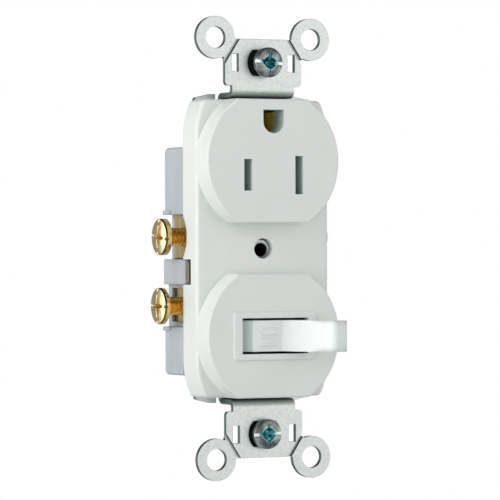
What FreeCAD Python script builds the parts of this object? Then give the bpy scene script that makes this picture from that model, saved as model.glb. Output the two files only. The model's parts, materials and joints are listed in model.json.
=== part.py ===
"""Combination wiring device: one toggle switch below one grounded socket on a single yoke.

Millimetres. +Z is up, +Y runs back into the wall box and the front faces -Y.
The origin is the middle of the yoke, in the plane of the rear faces of its ears.
"""
import FreeCAD, Part
import math
import os

V = FreeCAD.Vector

# Yoke: one folded strip of galvanised steel
yoke_sheet = 1.2
screw_spacing = 83.34
ear_half_width = 9.5
ear_reach = 5.33
ear_shoulder_drop = 4.9
ear_shoulder_inset = 3.2
washer_radius = 4.75
washer_hole_radius = 2.45
washer_overhang = 0.16
washer_rise = 0.2
score_width = 0.75
score_depth = 0.7
ear_slot_x = 7.0
ear_slot_width = 1.75
ear_slot_height = 4.0
screw_hole_width = 7.9
screw_hole_height = 5.8
neck_half_width = 7.75
neck_wall_gap = 0.45
neck_bend_radius = 0.7
ear_foot_rise = 2.05
bridge_depth = 5.5
bridge_side_gap = 0.85
bridge_overhang = 1.4
bridge_corner_run = 3.8
bridge_corner_drop = 0.9
bridge_waist_gap = 3.4
bridge_waist_rise = 0.7
relief_width = 1.1
relief_depth = 0.2
bridge_corner_radius = 0.6

# Face cover: white moulding with two raised bosses
cover_front_y = -0.8
cover_rim_lap = 1.0
cover_half_width = 16.45
cover_wall = 1.6
cover_front_wall = 2.0
cover_side_arc_z = 25.2
cover_side_arc_radius = 18.0
cover_corner_radius = 1.4
cover_edge_radius = 0.8
rim_notch_radius = 6.2
boss_z = 19.55
boss_face_y = -6.4
boss_swell = 0.15
boss_draft = 0.25
boss_flat = 13.85
boss_wall = 1.8
boss_edge_radius = 0.45

# Socket openings
blade_spacing = 12.7
blade_z = 16.4
blade_slot_width = 2.0
sleeve_wall = 0.9
sleeve_gap = 0.3
hot_slot_height = 7.05
neutral_slot_height = 8.6
ground_rise = 11.9
ground_slot_width = 5.15
ground_slot_top = 2.7
blade_thickness = 1.5
ground_pin_radius = 2.4

# Toggle and its frame in the cover
toggle_window_width = 16.4
toggle_window_height = 8.03
bezel_margin_x = 2.05
bezel_margin_z = 1.45
bezel_rise = 0.6
bezel_edge_radius = 0.4
toggle_height = 6.94
toggle_lean = 25.0
toggle_pivot_y = 4.38
drum_radius = 11.78
drum_wall = 1.5
facet_length = 7.64
lever_root_thickness = 5.0
lever_tip_thickness = 4.8
lever_length = 15.0
lever_tip_height = 6.7
lever_edge_radius = 0.9
drum_skirt_gap = 1.12
drum_skirt_least = 8.0
drum_shoulder_radius = 4.0
trunnion_radius = 1.5
trunnion_length = 1.8
trunnion_clearance = 0.08
cheek_thickness = 1.6
cheek_half_width = 3.6
hub_radius = 3.2
spring_tube_radius = 2.9
spring_tube_reach = 5.5
spring_pocket_depth = 1.2

# Back body: grey moulding
body_depth = 10.2
body_wall = 1.5
body_inset = 0.05
body_top_rise = 6.5
body_bottom_drop = 9.05
bay_recess = 1.1
bay_above_screw = 5.06
bay_below_screw = 4.77
window_above_screw = 4.03
window_below_screw = 3.57
window_behind_screw = 4.3
fin_bay_below_screw = 5.04
fin_bay_height = 5.7
barrier_front_gap = 0.3
barrier_lead = 0.8
barrier_nose_depth = 1.45
barrier_gap = 0.15
barrier_edge_radius = 0.5
barrier_back_rise = 0.6
body_edge_radius = 0.7
lip_rise = 0.45
lip_height = 0.9
lip_depth = 3.7
lip_edge_radius = 0.3
body_corner_radius = 1.3
ground_tower_half_width = 6.5
ground_tower_rise = 4.1
screw_tower_half_width = 4.4
screw_tower_drop = 3.0
screw_tower_depth = 6.0
chamber_above = 6.15
chamber_below = 6.85

# Brass terminals
brass_sheet = 0.8
contact_sheet = 0.6
plate_recess = 0.9
plate_front_gap = 0.5
terminal_screw_depth = 4.05
upper_terminal_z = 2.64
terminal_spacing = 15.57
terminal_end_gap = 0.25
fin_lead = 2.7
fin_reach = 1.8
fin_inset = 0.7
fin_leg = 1.0
contact_root = 1.7
contact_pinch = 0.65
contact_mouth = 1.6
contact_front_y = -1.5
contact_pinch_y = 1.6

# Switch works
rocker_sheet = 0.8
rocker_half_height = 2.6
rocker_knee_x = 4.5
rocker_end_x = 8.5
rocker_vee = 14.0
rocker_tilt = 6.0
rocker_over_ridge = 0.61
ridge_radius = 0.6
ridge_gap = 0.05
ridge_rise = 0.5
arm_half_height = 2.0
contact_radius = 1.5
contact_tail_radius = 0.8
moving_contact_thickness = 0.65
contact_touch = 0.02
plunger_gap = 0.15
plunger_radius = 1.8
plunger_cap = 1.7
plunger_dome_radius = 2.0
plunger_stem_radius = 1.0
plunger_stem_length = 2.4
spring_wire_radius = 0.22
spring_coil_radius = 1.45
spring_turns = 6

# Screws
thread_clearance = 0.05
mounting_shank_radius = 1.72
mounting_relief_radius = 1.45
mounting_relief_length = 4.3
mounting_screw_length = 12.7
mounting_head_radius = 3.4
mounting_head_height = 1.95
top_screw_standoff = 1.7
bottom_screw_standoff = 0.6
mounting_point_length = 1.5
retainer_width = 9.6
retainer_height = 8.6
retainer_thickness = 0.9
terminal_shank_radius = 2.08
terminal_head_radius = 4.17
terminal_head_height = 1.7
terminal_dish_radius = 3.2
terminal_dish_depth = 0.55
terminal_screw_length = 6.6
terminal_screw_travel = 3.5
lower_screw_extra = 0.6
ground_screw_travel = 2.0
ground_head_flat = 3.9
ground_head_height = 2.4
ground_tab_inset = 0.6
ground_tab_z = 28.0
ground_tab_half_height = 3.4
ground_tab_depth = 10.0
assembly_shank_radius = 1.3
assembly_head_radius = 2.5
assembly_head_height = 1.1
assembly_post_radius = 2.6
upper_assembly_z = 8.6
assembly_bite = 6.0
assembly_below_body = 1.0
eyelet_bore_radius = 1.4
eyelet_outer_radius = 2.0
eyelet_flange_radius = 2.15
eyelet_flange_height = 0.7
eyelet_recess = 1.2
cover_screw_hole_radius = 2.3
rivet_radius = 1.1
rivet_head_radius = 1.9
rivet_head_height = 0.7
rivet_drop = 4.4
ground_leaf_front_y = -0.9
ground_leaf_pinch_y = 1.7
ground_leaf_root = 2.9
ground_leaf_pinch = 2.2
ground_leaf_height = 4.6

# Values worked out from the sizes above
switch_z = -boss_z
boss_radius = cover_half_width + boss_swell
cover_half_height = boss_z + boss_flat
cover_rim_y = bridge_depth + cover_rim_lap
ground_z = blade_z + ground_rise
rivet_z = ground_z - rivet_drop
screw_z = screw_spacing / 2
bridge_back_y = bridge_depth + yoke_sheet
bridge_half_width = cover_half_width - cover_wall - bridge_side_gap
bridge_half_length = cover_half_height + bridge_overhang
neck_wall_z = cover_half_height + neck_wall_gap + yoke_sheet / 2
ear_foot_z = neck_wall_z + ear_foot_rise
ear_half_length = screw_z + ear_reach
ear_shoulder_z = ear_half_length - ear_shoulder_drop
ear_top_half_width = ear_half_width - ear_shoulder_inset
washer_x = cover_half_width + washer_overhang - washer_radius
washer_z = ear_half_length + washer_rise
body_front_y = bridge_back_y
body_back_y = body_front_y + body_depth
body_floor_y = body_back_y - body_wall
body_half_width = cover_half_width - body_inset
bay_half_width = body_half_width - bay_recess
terminal_x = bay_half_width - plate_recess
terminal_front_y = body_front_y + plate_front_gap
terminal_back_y = body_floor_y
terminal_screw_y = body_front_y + terminal_screw_depth
lower_terminal_z = upper_terminal_z - terminal_spacing
terminal_bay_top = upper_terminal_z + bay_above_screw
terminal_bay_bottom = lower_terminal_z - bay_below_screw
window_back_y = terminal_screw_y + window_behind_screw
fin_bay_top = upper_terminal_z - fin_bay_below_screw
fin_bay_bottom = fin_bay_top - fin_bay_height
lower_window_top = lower_terminal_z + window_above_screw
lower_window_bottom = lower_terminal_z - window_below_screw
fin_front_y = body_front_y - fin_lead
body_top_z = blade_z + body_top_rise
body_bottom_z = switch_z - body_bottom_drop
chamber_top = switch_z + chamber_above
chamber_bottom = switch_z - chamber_below
ground_tower_top = ground_z + ground_tower_rise
lower_assembly_z = body_bottom_z - assembly_below_body
screw_tower_bottom = lower_assembly_z - screw_tower_drop
bridge_waist_half_width = terminal_x - bridge_waist_gap
bridge_waist_top_z = body_top_z + bridge_waist_rise
bridge_waist_bottom_z = body_bottom_z - bridge_waist_rise
ground_tab_x = bridge_half_width - ground_tab_inset
eyelet_front_y = cover_front_y + eyelet_recess
rocker_axis_y = body_floor_y - brass_sheet - ridge_rise
rocker_front_y = rocker_axis_y - rocker_over_ridge - rocker_sheet / 2
plunger_reach = rocker_front_y - plunger_gap - toggle_pivot_y
screw_pocket_x = bay_half_width - terminal_screw_length - 2.5


def box(x0, x1, y0, y1, z0, z1):
    return Part.makeBox(x1 - x0, y1 - y0, z1 - z0, V(x0, y0, z0))


def rod(x, y, z, axis, radius, length):
    return Part.makeCylinder(radius, length, V(x, y, z), V(*axis))


def prism(points, direction):
    face = Part.Face(Part.makePolygon(points + points[:1]))
    return face.extrude(direction)


def prism_xz(points, y0, y1):
    return prism([V(x, y0, z) for x, z in points], V(0, y1 - y0, 0))


def prism_xy(points, z0, z1):
    return prism([V(x, y, z0) for x, y in points], V(0, 0, z1 - z0))


def joined(shapes):
    whole = shapes[0]
    for shape in shapes[1:]:
        whole = whole.fuse(shape)
    return whole.removeSplitter()


def without(shape, cutters):
    for cutter in cutters:
        shape = shape.cut(cutter)
    return shape.removeSplitter()


def mirrored_x(shape):
    return shape.mirror(V(0, 0, 0), V(1, 0, 0))


def mirrored_z(shape):
    return shape.mirror(V(0, 0, 0), V(0, 0, 1))


def rounded(shape, radius, wanted):
    edges = [edge for edge in shape.Edges if wanted(edge)]
    return shape.makeFillet(radius, edges) if edges else shape


def edge_middle(edge):
    return edge.CenterOfMass


def runs_along(edge, axis):
    if len(edge.Vertexes) != 2:
        return False
    step = edge.Vertexes[1].Point.sub(edge.Vertexes[0].Point)
    return step.Length > 1e-6 and abs(step.normalize().dot(V(*axis))) > 0.999


def lies_at_y(edge, y):
    bounds = edge.BoundBox
    return abs(bounds.YMin - y) < 0.02 and abs(bounds.YMax - y) < 0.02


def strip_outline(path, thickness):
    """Corner points of a strip of even thickness that follows an open path."""
    sides = ([], [])
    for index, (x, y) in enumerate(path):
        before = path[max(index - 1, 0)]
        after = path[min(index + 1, len(path) - 1)]
        first = unit(x - before[0], y - before[1]) or unit(after[0] - x, after[1] - y)
        second = unit(after[0] - x, after[1] - y) or first
        normal = unit(-first[1] - second[1], first[0] + second[0])
        reach = thickness / 2 / (normal[0] * -first[1] + normal[1] * first[0])
        for side, sign in zip(sides, (1, -1)):
            side.append((x + sign * reach * normal[0], y + sign * reach * normal[1]))
    return sides[0] + sides[1][::-1]


def unit(x, y):
    length = math.hypot(x, y)
    return (x / length, y / length) if length > 1e-9 else None


def turned(x, y, degrees, centre_y):
    """A point turned about a line along Z through x = 0, y = centre_y."""
    angle = math.radians(degrees)
    dy = y - centre_y
    return (x * math.cos(angle) - dy * math.sin(angle),
            centre_y + x * math.sin(angle) + dy * math.cos(angle))


def leaned(shape, degrees, centre_y):
    shape = shape.copy()
    shape.rotate(V(0, centre_y, 0), V(0, 0, 1), degrees)
    return shape


# Yoke
def yoke_ear():
    corners = [(-ear_half_width, ear_foot_z), (ear_half_width, ear_foot_z),
               (ear_half_width, ear_shoulder_z), (ear_top_half_width, ear_half_length),
               (-ear_top_half_width, ear_half_length), (-ear_half_width, ear_shoulder_z)]
    ear = rounded(prism_xz(corners, -yoke_sheet, 0), 0.8,
                  lambda e: runs_along(e, (0, 1, 0)) and edge_middle(e).z < ear_foot_z + 0.1)
    pieces = [ear]
    cuts = []
    for side in (-1, 1):
        pieces.append(rod(side * washer_x, -yoke_sheet, washer_z, (0, 1, 0), washer_radius, yoke_sheet))
        web = [(side * ear_top_half_width, ear_half_length), (side * ear_half_width, ear_shoulder_z),
               (side * washer_x, washer_z)]
        pieces.append(prism_xz(web, -yoke_sheet, 0))
        cuts.append(rod(side * washer_x, -yoke_sheet - 1, washer_z, (0, 1, 0),
                        washer_hole_radius, yoke_sheet + 2))
        cuts.append(score_line(side))
        cuts.append(box(side * ear_slot_x - ear_slot_width / 2, side * ear_slot_x + ear_slot_width / 2,
                        -yoke_sheet - 1, 1, screw_z - ear_slot_height / 2, screw_z + ear_slot_height / 2))
    hole = rod(0, -yoke_sheet - 1, screw_z, (0, 1, 0), screw_hole_width / 2, yoke_sheet + 2)
    flats = box(-screw_hole_width, screw_hole_width, -yoke_sheet - 1, 1,
                screw_z - screw_hole_height / 2, screw_z + screw_hole_height / 2)
    cuts.append(hole.common(flats))
    return without(joined(pieces), cuts)


def score_line(side):
    """Groove along which a plaster-ear washer snaps off."""
    start = (side * ear_top_half_width, ear_half_length)
    end = (side * ear_half_width, ear_shoulder_z)
    run = unit(end[0] - start[0], end[1] - start[1])
    path = [(start[0] - run[0], start[1] - run[1]), (end[0] + run[0], end[1] + run[1])]
    return prism_xz(strip_outline(path, score_width), -yoke_sheet - 1, -yoke_sheet + score_depth)


def yoke_neck():
    """Double bend that carries the ear forward from the bridge."""
    ear_y = -yoke_sheet / 2
    bridge_y = bridge_depth + yoke_sheet / 2
    path = [(bridge_y, cover_half_height - relief_depth - 1), (bridge_y, neck_wall_z),
            (ear_y, neck_wall_z), (ear_y, ear_foot_z + 0.5)]
    points = [V(-neck_half_width, y, z) for y, z in strip_outline(path, yoke_sheet)]
    neck = prism(points, V(2 * neck_half_width, 0, 0))
    half = yoke_sheet / 2
    inner = [(bridge_y - half, neck_wall_z - half), (ear_y + half, neck_wall_z + half)]
    outer = [(bridge_y + half, neck_wall_z + half), (ear_y - half, neck_wall_z - half)]

    def near(places):
        return lambda e: runs_along(e, (1, 0, 0)) and any(
            abs(edge_middle(e).y - y) < 0.05 and abs(edge_middle(e).z - z) < 0.05 for y, z in places)

    neck = rounded(neck, neck_bend_radius, near(inner))
    return rounded(neck, neck_bend_radius + yoke_sheet, near(outer))


def yoke_bridge():
    wide, waist = bridge_half_width, bridge_waist_half_width
    top, bottom = bridge_waist_top_z, bridge_waist_bottom_z
    end = bridge_half_length
    run, shoulder = bridge_corner_run, end - bridge_corner_drop
    half = [(wide - run, -end), (wide, -shoulder), (wide, bottom), (waist, bottom + wide - waist),
            (waist, top - wide + waist), (wide, top), (wide, shoulder), (wide - run, end)]
    outline = half + [(-x, z) for x, z in half[::-1]]
    bridge = prism_xz(outline, bridge_depth, bridge_back_y)
    bridge = rounded(bridge, bridge_corner_radius,
                     lambda e: runs_along(e, (0, 1, 0)) and abs(edge_middle(e).z) > shoulder - 0.1)
    reach = neck_half_width + relief_width
    for side in (-1, 1):
        z0, z1 = sorted((side * (cover_half_height - relief_depth), side * (end + 1)))
        bridge = bridge.cut(box(-reach, reach, bridge_depth - 1, bridge_back_y + 1, z0, z1))
    return bridge


def yoke_windows():
    y0, y1 = bridge_depth - 1, bridge_back_y + 1
    windows = []
    for side in (-1, 1):
        x = side * blade_spacing / 2
        windows.append(box(x - 3.4, x + 3.4, y0, y1, blade_z - 5.2, blade_z + 5.2))
    windows.append(box(-bridge_waist_half_width + 2.5, bridge_waist_half_width - 2.5, y0, y1,
                       chamber_bottom, chamber_top))
    windows.append(rod(0, y0, 0, (0, 1, 0), eyelet_outer_radius + thread_clearance, y1 - y0))
    windows.append(rod(0, y0, ground_z, (0, 1, 0), ground_pin_radius + 0.8, y1 - y0))
    windows.append(rod(0, y0, rivet_z, (0, 1, 0), rivet_radius, y1 - y0))
    for z in (upper_assembly_z, lower_assembly_z):
        windows.append(rod(0, y0, z, (0, 1, 0), assembly_shank_radius + 0.15, y1 - y0))
    return windows


def ground_tab():
    """Tab folded back from the yoke's right edge for the grounding screw."""
    z0, z1 = ground_tab_z - ground_tab_half_height, ground_tab_z + ground_tab_half_height
    back = bridge_depth + ground_tab_depth
    tab = box(ground_tab_x - yoke_sheet, ground_tab_x, bridge_depth, back, z0, z1)
    tab = rounded(tab, 1.0, lambda e: runs_along(e, (1, 0, 0)) and edge_middle(e).y > back - 0.1)
    return rounded(tab, 0.9, lambda e: runs_along(e, (0, 0, 1)) and edge_middle(e).y < bridge_depth + 0.1
                   and edge_middle(e).x > ground_tab_x - 0.1)


def mounting_strap():
    trimmed = box(ground_tab_x - yoke_sheet, bridge_half_width + 1, bridge_depth - 1, bridge_back_y + 1,
                  ground_tab_z - ground_tab_half_height - 0.5, ground_tab_z + ground_tab_half_height + 0.5)
    bridge = without(yoke_bridge(), yoke_windows() + [trimmed])
    ear, neck = yoke_ear(), yoke_neck()
    strap = joined([bridge, ear, mirrored_z(ear), neck, mirrored_z(neck), ground_tab()])
    hole = rod(ground_tab_x - yoke_sheet - 1, terminal_screw_y, ground_tab_z, (1, 0, 0),
               terminal_shank_radius + thread_clearance, yoke_sheet + 2)
    return without(strap, [hole])


# Face cover
def cover_outline(inset, y0, y1):
    """Block with straight sides that curve in towards both ends."""
    half_width = cover_half_width - inset
    top = cover_half_height - inset
    radius = cover_side_arc_radius - inset
    centre_x = half_width - radius
    corner = (centre_x + math.sqrt(radius ** 2 - (top - cover_side_arc_z) ** 2), top)
    angle = math.atan2(top - cover_side_arc_z, corner[0] - centre_x) / 2
    middle = (centre_x + radius * math.cos(angle), cover_side_arc_z + radius * math.sin(angle))
    start = (half_width, cover_side_arc_z)

    def at(point, sx, sz):
        return V(sx * point[0], y0, sz * point[1])

    edges = []
    for sx, sz in ((1, 1), (-1, 1), (-1, -1), (1, -1)):
        edges.append(Part.Arc(at(start, sx, sz), at(middle, sx, sz), at(corner, sx, sz)).toShape())
    for sx in (-1, 1):
        edges.append(Part.makeLine(at(start, sx, -1), at(start, sx, 1)))
    for sz in (-1, 1):
        edges.append(Part.makeLine(at(corner, -1, sz), at(corner, 1, sz)))
    wire = Part.Wire(Part.__sortEdges__(edges))
    block = Part.Face(wire).extrude(V(0, y1 - y0, 0))
    return rounded(block, max(cover_corner_radius - inset, 0.3),
                   lambda e: runs_along(e, (0, 1, 0)) and abs(edge_middle(e).z) > top - 0.2)


def boss_block(z, inset, y0, y1, draft):
    """Round block with a flat at the top and at the bottom."""
    radius = boss_radius - inset
    flat = boss_flat - inset
    block = Part.makeCone(radius - draft, radius, y1 - y0, V(0, y0, z), V(0, 1, 0))
    return block.common(box(-radius - 1, radius + 1, y0, y1, z - flat, z + flat))


def cover_shell():
    shell = cover_outline(0, cover_front_y, cover_rim_y)
    shell = rounded(shell, cover_edge_radius, lambda e: lies_at_y(e, cover_front_y))
    solids = [shell]
    hollows = [cover_outline(cover_wall, cover_front_y + cover_front_wall, cover_rim_y + 1)]
    for z in (boss_z, -boss_z):
        boss = boss_block(z, 0, boss_face_y, cover_front_y + cover_edge_radius, boss_draft)
        solids.append(rounded(boss, boss_edge_radius, lambda e: lies_at_y(e, boss_face_y)))
        hollows.append(boss_block(z, boss_wall, boss_face_y + boss_wall,
                                  cover_front_y + cover_front_wall + 0.1, boss_draft))
    return without(joined(solids), hollows)


def toggle_bezel():
    half_width = toggle_window_width / 2 + bezel_margin_x
    half_height = toggle_window_height / 2 + bezel_margin_z
    front = boss_face_y - bezel_rise
    bezel = box(-half_width, half_width, front, boss_face_y + 0.5,
                switch_z - half_height, switch_z + half_height)
    bezel = rounded(bezel, 0.9, lambda e: runs_along(e, (0, 1, 0)))
    return rounded(bezel, bezel_edge_radius, lambda e: lies_at_y(e, front))


def cheeks():
    """Two walls inside the cover whose open notches take the toggle's trunnions."""
    walls = []
    for side in (-1, 1):
        z0, z1 = sorted((switch_z + side * toggle_window_height / 2,
                         switch_z + side * (toggle_window_height / 2 + cheek_thickness)))
        wall = box(-cheek_half_width, cheek_half_width, boss_face_y + boss_wall - 0.2,
                   bridge_depth - 0.1, z0, z1)
        notch_radius = trunnion_radius + trunnion_clearance
        notch = rod(0, toggle_pivot_y, z0 - 1, (0, 0, 1), notch_radius, cheek_thickness + 2)
        mouth = box(-notch_radius, notch_radius, toggle_pivot_y, bridge_depth + 1, z0 - 1, z1 + 1)
        walls.append(without(wall, [notch, mouth]))
    return walls


def socket_openings(margin, front, blade_back, pin_back):
    """Two blade slots and a U-shaped ground hole, grown all round by a margin."""
    openings = []
    for x, height in ((-blade_spacing / 2, hot_slot_height), (blade_spacing / 2, neutral_slot_height)):
        half_x, half_z = blade_slot_width / 2 + margin, height / 2 + margin
        openings.append(box(x - half_x, x + half_x, front, blade_back, blade_z - half_z, blade_z + half_z))
    radius = ground_slot_width / 2 + margin
    openings.append(rod(0, front, ground_z, (0, 1, 0), radius, pin_back - front))
    openings.append(box(-radius, radius, front, pin_back, ground_z, ground_z + ground_slot_top + margin))
    return openings


def socket_slots():
    return socket_openings(0, boss_face_y - 1, contact_front_y + 1, ground_leaf_front_y + 1)


def slot_sleeves():
    """Collars behind the socket's face that guide a plug's blades and pin to their contacts."""
    return socket_openings(sleeve_wall, boss_face_y + boss_wall - 0.2, contact_front_y - sleeve_gap,
                           ground_leaf_front_y - sleeve_gap)


def cover_posts():
    """Hollow posts that the assembly screws bite into."""
    posts = []
    for z in (upper_assembly_z, lower_assembly_z):
        posts.append(rod(0, boss_face_y + boss_wall - 0.2, z, (0, 1, 0), assembly_post_radius,
                         bridge_depth - boss_face_y - boss_wall + 0.2))
    return posts


def cover_notches():
    """Cut-outs in the rear rim: screw clearance, break-off fin access and room for the yoke."""
    cuts = []
    for side in (-1, 1):
        x0, x1 = sorted((side * (cover_half_width - cover_wall - 0.5), side * (cover_half_width + 1)))
        cuts.append(rod(x0, terminal_screw_y, upper_terminal_z, (1, 0, 0), rim_notch_radius, x1 - x0))
        cuts.append(box(x0, x1, cover_rim_y - 4.05, cover_rim_y + 1, fin_bay_bottom, fin_bay_top))
        z0, z1 = sorted((side * (cover_half_height - cover_wall - 5), side * (cover_half_height + 1)))
        cuts.append(box(-bridge_half_width - 0.1, bridge_half_width + 0.1, bridge_depth - 0.05,
                        cover_rim_y + 1, z0, z1))
    return cuts


def face_cover():
    cover = joined([cover_shell(), toggle_bezel()] + cheeks() + cover_posts() + slot_sleeves())
    window = box(-toggle_window_width / 2, toggle_window_width / 2, boss_face_y - bezel_rise - 1,
                 boss_face_y + boss_wall + 0.1, switch_z - toggle_window_height / 2,
                 switch_z + toggle_window_height / 2)
    holes = [rod(0, cover_front_y - 1, 0, (0, 1, 0), cover_screw_hole_radius, cover_front_wall + 2)]
    for z in (upper_assembly_z, lower_assembly_z):
        holes.append(rod(0, bridge_depth - assembly_bite, z, (0, 1, 0), assembly_shank_radius,
                         assembly_bite + 1))
    return without(cover, [window] + socket_slots() + holes + cover_notches())


# Back body
def body_blocks():
    front, back = body_front_y, body_back_y

    def end_corner(edge):
        at = edge_middle(edge)
        return runs_along(edge, (1, 0, 0)) and at.y > back - 0.1 and not bottom < at.z < top

    bottom, top = body_bottom_z + 0.1, body_top_z - 0.1
    core = box(-bay_half_width, bay_half_width, front, back, body_bottom_z, body_top_z)
    blocks = [rounded(core, body_corner_radius, end_corner)]
    for z0, z1 in ((terminal_bay_top, body_top_z), (body_bottom_z, terminal_bay_bottom)):
        block = rounded(box(-body_half_width, body_half_width, front, back, z0, z1),
                        body_corner_radius, end_corner)
        blocks.append(rounded(block, body_edge_radius,
                              lambda e: runs_along(e, (0, 0, 1)) and edge_middle(e).y > back - 0.1))
    for z0 in (terminal_bay_top, terminal_bay_bottom - lip_height):
        reach = body_half_width + lip_rise
        lip = box(-reach, reach, back - lip_depth, back, z0, z0 + lip_height)
        blocks.append(rounded(lip, lip_edge_radius, lambda e: abs(edge_middle(e).x) > reach - 0.1))
    blocks.append(box(-ground_tower_half_width, ground_tower_half_width, front, back,
                      body_top_z - 1, ground_tower_top))
    blocks.append(box(-screw_tower_half_width, screw_tower_half_width, front,
                      front + screw_tower_depth, screw_tower_bottom, body_bottom_z + 1))
    return blocks


def barrier():
    """Wall between the two terminal bays, with a nose on each side that fills the cover's notch."""
    front, back = body_front_y, body_back_y
    wall = box(-body_half_width, body_half_width, front + barrier_front_gap,
               back + barrier_back_rise, fin_bay_bottom, fin_bay_top)
    wall = rounded(wall, barrier_edge_radius, lambda e: edge_middle(e).y > back
                   and abs(edge_middle(e).x) > body_half_width - 0.1)
    noses = []
    for side in (-1, 1):
        x0, x1 = sorted((side * (body_half_width - barrier_nose_depth), side * body_half_width))
        nose = box(x0, x1, front - barrier_lead, front + barrier_front_gap + 1,
                   fin_bay_bottom + barrier_gap, fin_bay_top - barrier_gap)
        noses.append(rounded(nose, barrier_edge_radius, lambda e: edge_middle(e).y < front - 0.1
                             and abs(edge_middle(e).x) > body_half_width - 0.1))
    return [wall] + noses


def upper_bays():
    """Space on both sides of the upper terminals, down to the outer faces of their plates."""
    bays = []
    for side in (-1, 1):
        x0, x1 = sorted((side * terminal_x, side * (body_half_width + 1)))
        bays.append(box(x0, x1, body_front_y - 1, body_back_y + 1, fin_bay_top, terminal_bay_top))
    return bays


def body_hollows():
    front, floor = body_front_y - 1, body_floor_y
    reach = body_half_width - body_wall
    plate = terminal_x + 0.05
    hollows = [box(-reach, reach, front, floor, chamber_bottom, terminal_bay_bottom - body_wall),
               box(-plate, plate, front, floor, terminal_bay_bottom - body_wall, chamber_top)]
    for side in (-1, 1):
        x0, x1 = sorted((side * 2.2, side * reach))
        hollows.append(box(x0, x1, front, floor, blade_z - 5.0, blade_z + 5.0))
        x0, x1 = sorted((side * screw_pocket_x, side * plate))
        hollows.append(box(x0, x1, front, floor, fin_bay_top + 0.1, blade_z - 4.0))
        hollows.append(box(x0, x1, front, floor, terminal_bay_bottom, lower_window_top + 0.3))
        x0, x1 = sorted((side * (terminal_x - 2), side * (bay_half_width + 1)))
        hollows.append(box(x0, x1, front, window_back_y, lower_window_bottom, lower_window_top))
    return hollows + upper_bays()


def body_holes():
    front = body_front_y - 1
    through = body_depth + barrier_back_rise + 2
    holes = [rod(0, front, 0, (0, 1, 0), eyelet_outer_radius + thread_clearance, through),
             rod(0, front, ground_z, (0, 1, 0), ground_pin_radius + 0.6, body_floor_y - front),
             rod(0, front, rivet_z, (0, 1, 0), rivet_head_radius + 0.3, rivet_head_height + 1.3),
             rod(0, body_back_y - eyelet_flange_height, 0, (0, 1, 0), eyelet_flange_radius + 0.6,
                 eyelet_flange_height + barrier_back_rise + 1)]
    for z, back in ((upper_assembly_z, body_back_y), (lower_assembly_z, body_front_y + screw_tower_depth)):
        holes.append(rod(0, front, z, (0, 1, 0), assembly_shank_radius + 0.15, through))
        holes.append(rod(0, back - assembly_head_height, z, (0, 1, 0), assembly_head_radius + 0.3,
                         body_depth))
    return holes


def trunnion_posts():
    """Posts on the body's floor that close the trunnion notches from behind."""
    posts = []
    top = toggle_pivot_y + trunnion_radius + trunnion_clearance
    for side in (-1, 1):
        z0, z1 = sorted((switch_z + side * toggle_window_height / 2,
                         switch_z + side * (toggle_window_height / 2 + cheek_thickness)))
        posts.append(box(-1.4, 1.4, top, body_floor_y + 0.2, z0, z1))
    return posts


def back_body():
    body = without(joined(body_blocks() + barrier()), body_hollows() + body_holes())
    return joined([body] + trunnion_posts())


# Terminals and contacts
def contact_leaves(x, height):
    """Two sprung leaves that grip a flat blade from both sides."""
    leaves = []
    for side in (-1, 1):
        offsets = ((contact_root, body_floor_y - brass_sheet / 2), (contact_root, 10.0),
                   (contact_pinch + contact_sheet / 2, contact_pinch_y), (contact_mouth, contact_front_y))
        path = [(x + side * d, y) for d, y in offsets]
        leaves.append(prism_xy(strip_outline(path, contact_sheet), blade_z - height / 2,
                               blade_z + height / 2))
    return leaves


def side_plate(z0, z1, front=terminal_front_y):
    """Left-hand terminal plate standing inside the body's side wall."""
    return box(-terminal_x, -terminal_x + brass_sheet, front, terminal_back_y, z0, z1)


def screw_hole(z):
    return rod(-terminal_x - 1, terminal_screw_y, z, (1, 0, 0),
               terminal_shank_radius + thread_clearance, brass_sheet + 2)


def floor_strip(x0, x1, z0, z1):
    return box(x0, x1, body_floor_y - brass_sheet, body_floor_y, z0, z1)


def socket_terminal(slot_height):
    """Upper left terminal plate with the contact for one blade."""
    height = slot_height - 0.6
    plate_top = blade_z + height / 2
    x = -blade_spacing / 2
    plate_bottom = fin_bay_top + terminal_end_gap
    pieces = [side_plate(plate_bottom, terminal_bay_top - terminal_end_gap),
              side_plate(plate_bottom, plate_top, terminal_screw_y + 1),
              floor_strip(-terminal_x, x + contact_root + contact_sheet / 2,
                          blade_z - height / 2, plate_top)]
    return joined(pieces + contact_leaves(x, height))


def break_off_fin():
    """Bridge between the two line terminals: it stands out sideways and snaps off to split them."""
    top = fin_bay_top + terminal_end_gap
    bottom = lower_window_top
    x0, x1 = -terminal_x, -terminal_x + brass_sheet
    fin = box(x0, x1, fin_front_y, fin_front_y + brass_sheet, bottom - fin_leg, top + fin_leg)
    flag = box(x0 - fin_reach, x1, fin_front_y, fin_front_y + brass_sheet,
               fin_bay_bottom + fin_inset, fin_bay_top - fin_inset)
    legs = [box(x0, x1, fin_front_y, terminal_front_y + 0.5, top, top + fin_leg),
            box(x0, x1, fin_front_y, terminal_front_y + 0.5, bottom - fin_leg, bottom)]
    nicks = [rod(x0 - 1, terminal_front_y - 0.6, z, (1, 0, 0), 0.4, brass_sheet + 2)
             for z in (top, bottom)]
    return without(joined([fin, flag] + legs), nicks)


def switch_plate():
    """Lower left terminal plate, running down past the switch chamber."""
    return side_plate(switch_z - arm_half_height, lower_window_top)


def line_bus():
    tab = floor_strip(-terminal_x, contact_x() + 2.0, switch_z - arm_half_height,
                      switch_z + arm_half_height)
    bus = joined([socket_terminal(hot_slot_height), break_off_fin(), switch_plate(), tab])
    tail = rod(contact_x(), body_floor_y - 3, switch_z, (0, 1, 0), contact_tail_radius, 5)
    return without(bus, [screw_hole(upper_terminal_z), screw_hole(lower_terminal_z), tail])


def neutral_terminal():
    return mirrored_x(without(socket_terminal(neutral_slot_height), [screw_hole(upper_terminal_z)]))


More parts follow.
